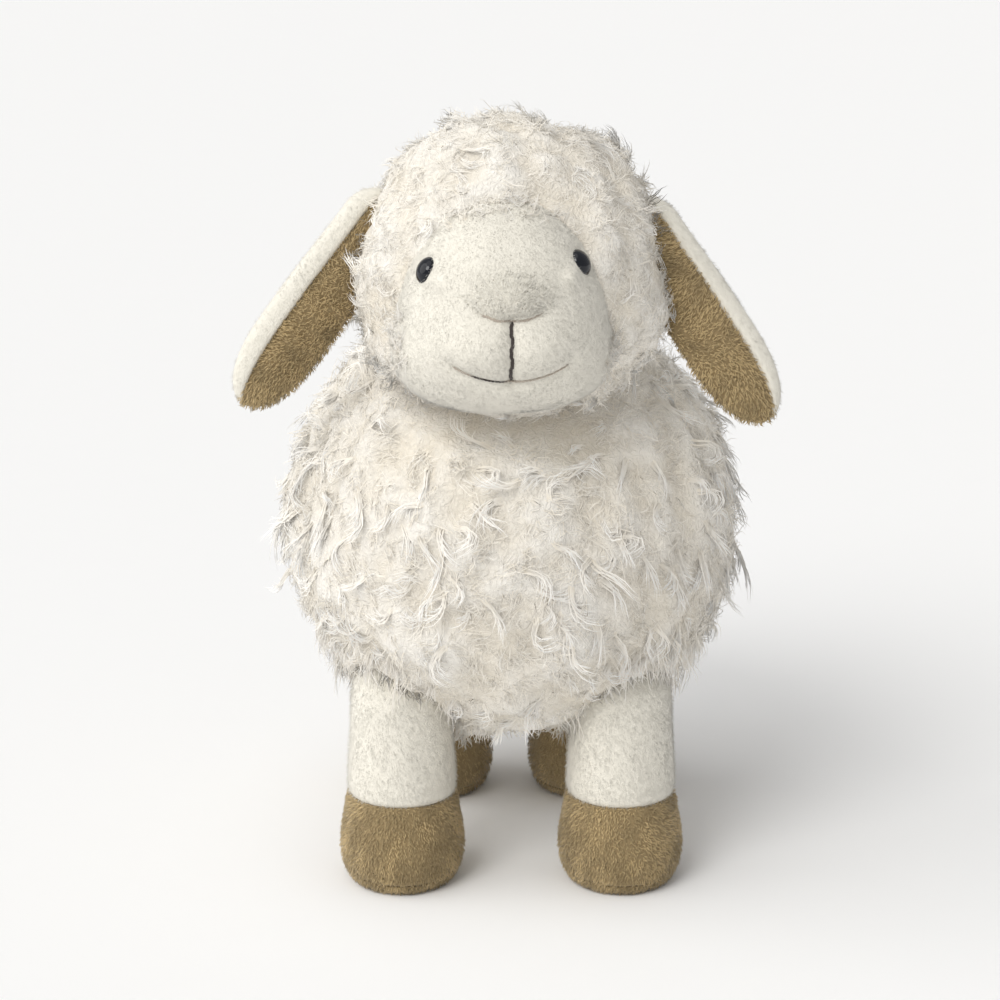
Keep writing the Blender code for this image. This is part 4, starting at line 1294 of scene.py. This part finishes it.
def floss(name, points, radius, plies, finish, slot, node, pitch=0.0024, step=0.0004, end=0.0015):
    """A sewn line of plies twisted about each other through points on the cloth."""
    points = np.array(points)
    spans = np.append(0, np.cumsum(np.linalg.norm(np.diff(points, axis=0), axis=1)))
    count = max(12, int(spans[-1] / step))
    at = np.linspace(0, spans[-1], count)
    line = np.stack([np.interp(at, spans, points[:, i]) for i in range(3)], -1)
    along = unit(np.gradient(line, axis=0))
    side = unit(np.cross(along, np.array((0.0, 1.0, 0.0))))
    other = np.cross(along, side)
    thin = radius * 0.62
    fade = np.minimum(1, 0.35 + np.minimum(at, spans[-1] - at) / end)[:, None]
    curves = bpy.data.curves.new(name, "CURVE")
    curves.dimensions = "3D"
    curves.bevel_depth, curves.bevel_resolution, curves.use_fill_caps = thin, 2, True
    for ply in range(plies):
        turn = (math.tau * (at / pitch + ply / plies))[:, None]
        out = side * np.cos(turn) + other * np.sin(turn) * 0.5
        path = line + out * (radius - thin * 0.5) * fade
        spline = curves.splines.new("POLY")
        spline.points.add(count - 1)
        spline.points.foreach_set("co", np.hstack((path, np.ones((count, 1)))).ravel())
        spline.points.foreach_set("radius", fade.ravel())
    obj = bpy.data.objects.new(name, curves)
    bpy.context.scene.collection.objects.link(obj)
    bpy.ops.object.select_all(action="DESELECT")
    obj.select_set(True)
    bpy.context.view_layer.objects.active = obj
    bpy.ops.object.convert(target="MESH")
    obj = bpy.context.object
    obj.data.materials.clear()
    obj.data.materials.append(finish_of(finish))
    bpy.ops.object.shade_smooth()
    dress(obj, slot, "head", node)


class SHEEP_OT_sewn_lines(SheepStep, bpy.types.Operator):
    """Sews the nose, the lip line and the mouth into the face"""

    bl_idname = "sheep.sewn_lines"
    bl_label = "Sewn lines"

    def execute(self, context):
        form, face = sheep().face, FaceTree()

        def route(places, sink):
            return [face.met(x, z, sink) for x, z in places]

        heights = np.linspace(form.nose_line(0.0) - 0.0003, form.MOUTH_HEIGHT + 0.0008, 24)
        lip = route(zip(0.0003 * np.sin(heights * 900), heights), 0.0007)
        floss("lip_floss", lip, 0.00048, 3, "dark_thread", "dark_thread", "lip_stitch")
        across = np.linspace(-form.NOSE_HALF_WIDTH, form.NOSE_HALF_WIDTH, 24)
        nose = route(zip(across, form.nose_line(across)), 0.0003)
        floss("nose_floss", nose, 0.00032, 2, "taupe_thread", "taupe_thread", "nose_stitch")
        across = np.linspace(-form.MOUTH_HALF_WIDTH, form.MOUTH_HALF_WIDTH, 36)
        mouth = route(zip(across, form.mouth_line(across)), 0.0002)
        floss("mouth_floss", mouth, 0.00030, 2, "mouth_thread", "dark_thread", "mouth_stitch")
        return {"FINISHED"}


class SHEEP_OT_ears(SheepStep, bpy.types.Operator):
    """Sews each ear: a cream back that wraps round the outer rim, and a tan lining"""

    bl_idname = "sheep.ears"
    bl_label = "Ears"
    BACK_FULLNESS, LINING_FULLNESS = 2.5, 2.4
    SEAM_SOFT, SEAM_GAP, LINING_START = 0.0030, 0.0002, -0.010

    def execute(self, context):
        it = sheep()
        pile, root = it.pile, it.forms.ear_root
        for side, ear in it.ears.items():

            def outline(ways, fullness, start):
                """Distance along the ear, half width, half depth, its seam and a place on its ring."""
                share = np.arccos(np.clip(ways[:, 2], -1, 1)) / math.pi
                along = -root + (ear.size + root) * (1 + np.cos(math.pi * share)) / 2
                width, depth = ear.section(along)
                turn = np.arctan2(ways[:, 1], ways[:, 0])
                x, y = np.cos(turn), np.sin(turn)
                full = (np.abs(x) ** fullness + np.abs(y) ** fullness) ** (-1 / fullness)
                seam = width * (1 - 2 * ear.RIM_SHARE)
                return np.clip(along, start, None), width, depth, seam, full, x, y

            def back_place(ways):
                along, width, depth, seam, full, x, y = outline(ways, self.BACK_FULLNESS, -root)
                x, y = width * full * x, depth * full * y
                sunk = smooth_step((seam - x) / self.SEAM_SOFT)
                return ear.world(x, np.where(y < 0, y * (1 - 0.85 * sunk), y), along)

            def front_place(ways):
                start = self.LINING_START
                along, width, depth, seam, full, x, y = outline(ways, self.LINING_FULLNESS, start)
                seam = seam - self.SEAM_GAP
                middle, half = (seam - width) / 2, (seam + width) / 2
                y = np.where(y < 0, depth * 0.96, 0.0006) * full * y
                return ear.world(middle + half * full * x, y, along)

            body = "ear_" + side
            outer = ball("ear_back_" + side, 64, 72, back_place, "cream_cloth")
            inner = ball("ear_lining_" + side, 48, 72, front_place, "tan_cloth")
            nodes = "ear_outer_" + side, "ear_wadding_" + side
            dress(outer, "cream_plush", body, *nodes, padding=0.5)
            dress(inner, "tan_plush", body, "ear_inner_" + side, padding=0.5)

            def lean(points, normals):
                return ear.tip + drift(points, 0.012, 71) * 0.7

            def front(points, normals):
                return np.where(normals @ ear.axes[1] < 0.25, 1.0, 0.0)

            naps = "ear_back_nap_" + side, "ear_lining_nap_" + side
            add_nap(naps[0], outer, "cream", pile.cream_nap * 0.65, body, lean, 72, 0.9)
            density = pile.tan_nap * 0.85
            # The linings' hairs are made paler, as painted light that the hanging linings don't catch.
            add_nap(naps[1], inner, "tan", density, body, lean, 73, 1.4, front, 0.0010, 0.42)
        return {"FINISHED"}


class SHEEP_OT_legs(SheepStep, bpy.types.Operator):
    """Stuffs the cream legs and the tan feet with their soles, and brushes their pile"""

    bl_idname = "sheep.legs"
    bl_label = "Legs and feet"
    HALF_WIDTH, TOE, HEEL, BULGE, EDGE = 0.0215, 0.0250, 0.0220, 0.0130, 0.0060
    AROUND, HIDDEN_SHARE, NAP_ABOVE_HIP = 64, 0.3, 0.016

    def reach(self, hip, height):
        """Half width, toe and heel at heights above the floor."""
        forms = sheep().forms
        up = smooth_step((height - forms.foot_height) / (hip[2] - forms.foot_height))
        leg = forms.leg_radius + (forms.hip_radius - forms.leg_radius) * up
        slim = smooth_step((height - self.BULGE) / (forms.foot_height - self.BULGE))
        under = np.clip(1 - height / self.BULGE, 0, 1)
        tuck = self.EDGE * (1 - np.sqrt(1 - under * under))
        sizes = self.HALF_WIDTH, self.TOE, self.HEEL
        return [size + (leg - size) * slim - tuck for size in sizes]

    def stops(self, hip_height):
        """Outlines of the leg, the foot and the sole: shares of the way, heights and insets."""
        forms = sheep().forms
        seam, sole, radius = forms.foot_height, forms.sole, forms.hip_radius
        tube = (
            (0.0, seam - 0.0005, 0.0), (0.05, seam - 0.0005, 0.90), (0.09, seam + 0.0003, 0.955),
            (0.14, seam + 0.0015, 0.985), (0.20, seam + 0.0040, 1.0), (0.66, hip_height, 1.0),
            (0.80, hip_height + radius * 0.55, 1.0), (0.92, hip_height + radius * 0.9, 1.0),
            (1.0, hip_height + radius, 1.0),
        )
        foot = (
            (0.0, sole, 0.0), (0.06, sole, 0.94), (0.09, sole + 0.0001, 0.985),
            (0.13, sole + 0.0006, 1.0), (0.22, sole + 0.0030, 1.0), (0.80, seam - 0.0045, 1.0),
            (0.87, seam - 0.0018, 0.99), (0.92, seam - 0.0004, 0.96), (0.95, seam, 0.90),
            (1.0, seam, 0.0),
        )
        base = (
            (0.0, 0.0, 0.0), (0.30, 0.0, 0.86), (0.40, 0.0, 0.96), (0.52, 0.0007, 1.0),
            (0.66, 0.0022, 1.0), (0.80, sole - 0.0005, 1.0), (0.88, sole - 0.0001, 0.985),
            (0.94, sole, 0.94), (1.0, sole, 0.0),
        )
        return tube, foot, base

    def execute(self, context):
        it = sheep()
        pile, seam, radius = it.pile, it.forms.foot_height, it.forms.hip_radius
        parts = (
            ("leg_tube_", 56, "cream", ("leg_cover_", "leg_stuffing_")),
            ("foot_bulge_", 44, "tan", ("foot_cover_", "foot_pellets_")),
            ("foot_base_", 24, "tan", ("foot_sole_",)),
        )
        for leg, hip in it.hips.items():

            def section(turn, height, fill):
                across, toe, heel = self.reach(hip, np.clip(height, 0, hip[2]))
                dome = np.sqrt(np.clip(1 - ((height - hip[2]) / radius).clip(0, 1) ** 2, 0, 1))
                fill = fill * np.where(height > hip[2], dome, 1.0)
                along = np.where(np.sin(turn) < 0, toe, heel) * np.sin(turn)
                x, y = across * np.cos(turn) * fill, along * fill
                return np.stack((hip[0] + x, hip[1] + y, height), -1)

            body, made = "leg_" + leg, []
            for (name, over, tint, nodes), stops in zip(parts, self.stops(hip[2])):
                obj = round_limb(name + leg, self.AROUND, over, section, stops, tint + "_cloth")
                nodes = [node + leg for node in nodes]
                made.append(dress(obj, tint + "_plush", body, *nodes, padding=0.8))

            def below_hip(points, normals):
                height = points[:, 2]
                low = (height < hip[2] + self.NAP_ABOVE_HIP) & (height > seam + 0.0002)
                return np.where(low, 1.0, 0.0)

            def shown(points, normals):
                steep = np.abs(normals[:, 2]) < 0.9
                return np.where(steep & (points[:, 2] > 0.0012), 1.0, 0.0)

            seen = 1.0 if hip[1] < 0 else self.HIDDEN_SHARE
            cream, tan = pile.cream_nap * seen * 0.85, pile.tan_nap * seen
            tube, bulge, base = made
            add_nap("leg_nap_" + leg, tube, "cream", cream, body, downward, 81, 1.0, below_hip)
            add_nap("foot_nap_" + leg, bulge, "tan", tan, body, downward, 82, 1.15, shown, 0.0010)
            add_nap("base_nap_" + leg, base, "tan", tan, body, downward, 83, 1.0, shown, 0.0010)
        return {"FINISHED"}


class SHEEP_OT_tail(SheepStep, bpy.types.Operator):
    """Stuffs the short tail and grows its wool"""

    bl_idname = "sheep.tail"
    bl_label = "Tail"
    LOCKS, LOCK_LENGTH, ROOT_DEPTH, ROOT_SHARE = 150, 0.0095, 0.004, 0.72

    def execute(self, context):
        it = sheep()
        forms, pile, tip = it.forms, it.pile.tail_pile, it.tail_way
        side = np.array((1.0, 0.0, 0.0))
        half, size = forms.tail_half_width - pile, forms.tail_length - pile

        def section(turn, share, fill):
            along = -self.ROOT_DEPTH + (size + self.ROOT_DEPTH) * (1 - np.cos(math.pi * share)) / 2
            wide = self.ROOT_SHARE + (1 - self.ROOT_SHARE) * smooth_step(share * 1.8)
            radius = half * np.sin(math.pi * share) ** 0.75 * wide
            out = side * np.cos(turn)[:, None] + np.cross(tip, side) * np.sin(turn)[:, None]
            return it.tail_seat + tip * along[:, None] + out * radius[:, None]

        stops = ((0.0, 0.0, 1.0), (1.0, 1.0, 1.0))
        skin = round_limb("tail_backing", 32, 28, section, stops, "backing")
        dress(skin, "cream_wool", "tail", "tail_stuffing", padding=0.7)
        wool = Wool("tail_wool", skin, self.LOCKS)
        wool.cover(self.LOCK_LENGTH, tip, "tail", "tail_fleece")
        return {"FINISHED"}


class SHEEP_PT_panel(bpy.types.Panel):
    """Lists the sheep's steps and settings"""

    bl_idname = "SHEEP_PT_panel"
    bl_label = "Plush sheep"
    bl_space_type = "VIEW_3D"
    bl_region_type = "UI"
    bl_category = "Sheep"

    def draw(self, context):
        for step in STEPS:
            self.layout.operator(step.bl_idname)
        for group in ("forms", "pile", "colours", "studio"):
            box = self.layout.box()
            settings = getattr(context.scene.sheep, group)
            for name in settings.__annotations__:
                box.prop(settings, name)


STEPS = (
    SHEEP_OT_stage,
    SHEEP_OT_body,
    SHEEP_OT_body_wool,
    SHEEP_OT_neck,
    SHEEP_OT_head,
    SHEEP_OT_head_wool,
    SHEEP_OT_face,
    SHEEP_OT_eyes,
    SHEEP_OT_sewn_lines,
    SHEEP_OT_ears,
    SHEEP_OT_legs,
    SHEEP_OT_tail,
)
CLASSES = (SheepForms, SheepPile, SheepColours, SheepStudio, SheepSettings, *STEPS, SHEEP_PT_panel)


def register():
    for cls in CLASSES:
        bpy.utils.register_class(cls)
    bpy.types.Scene.sheep = PointerProperty(type=SheepSettings)


def unregister():
    del bpy.types.Scene.sheep
    for cls in reversed(CLASSES):
        bpy.utils.unregister_class(cls)


def main():
    register()
    for step in STEPS:
        group, name = step.bl_idname.split(".")
        getattr(getattr(bpy.ops, group), name)()


if __name__ == "__main__":
    main()
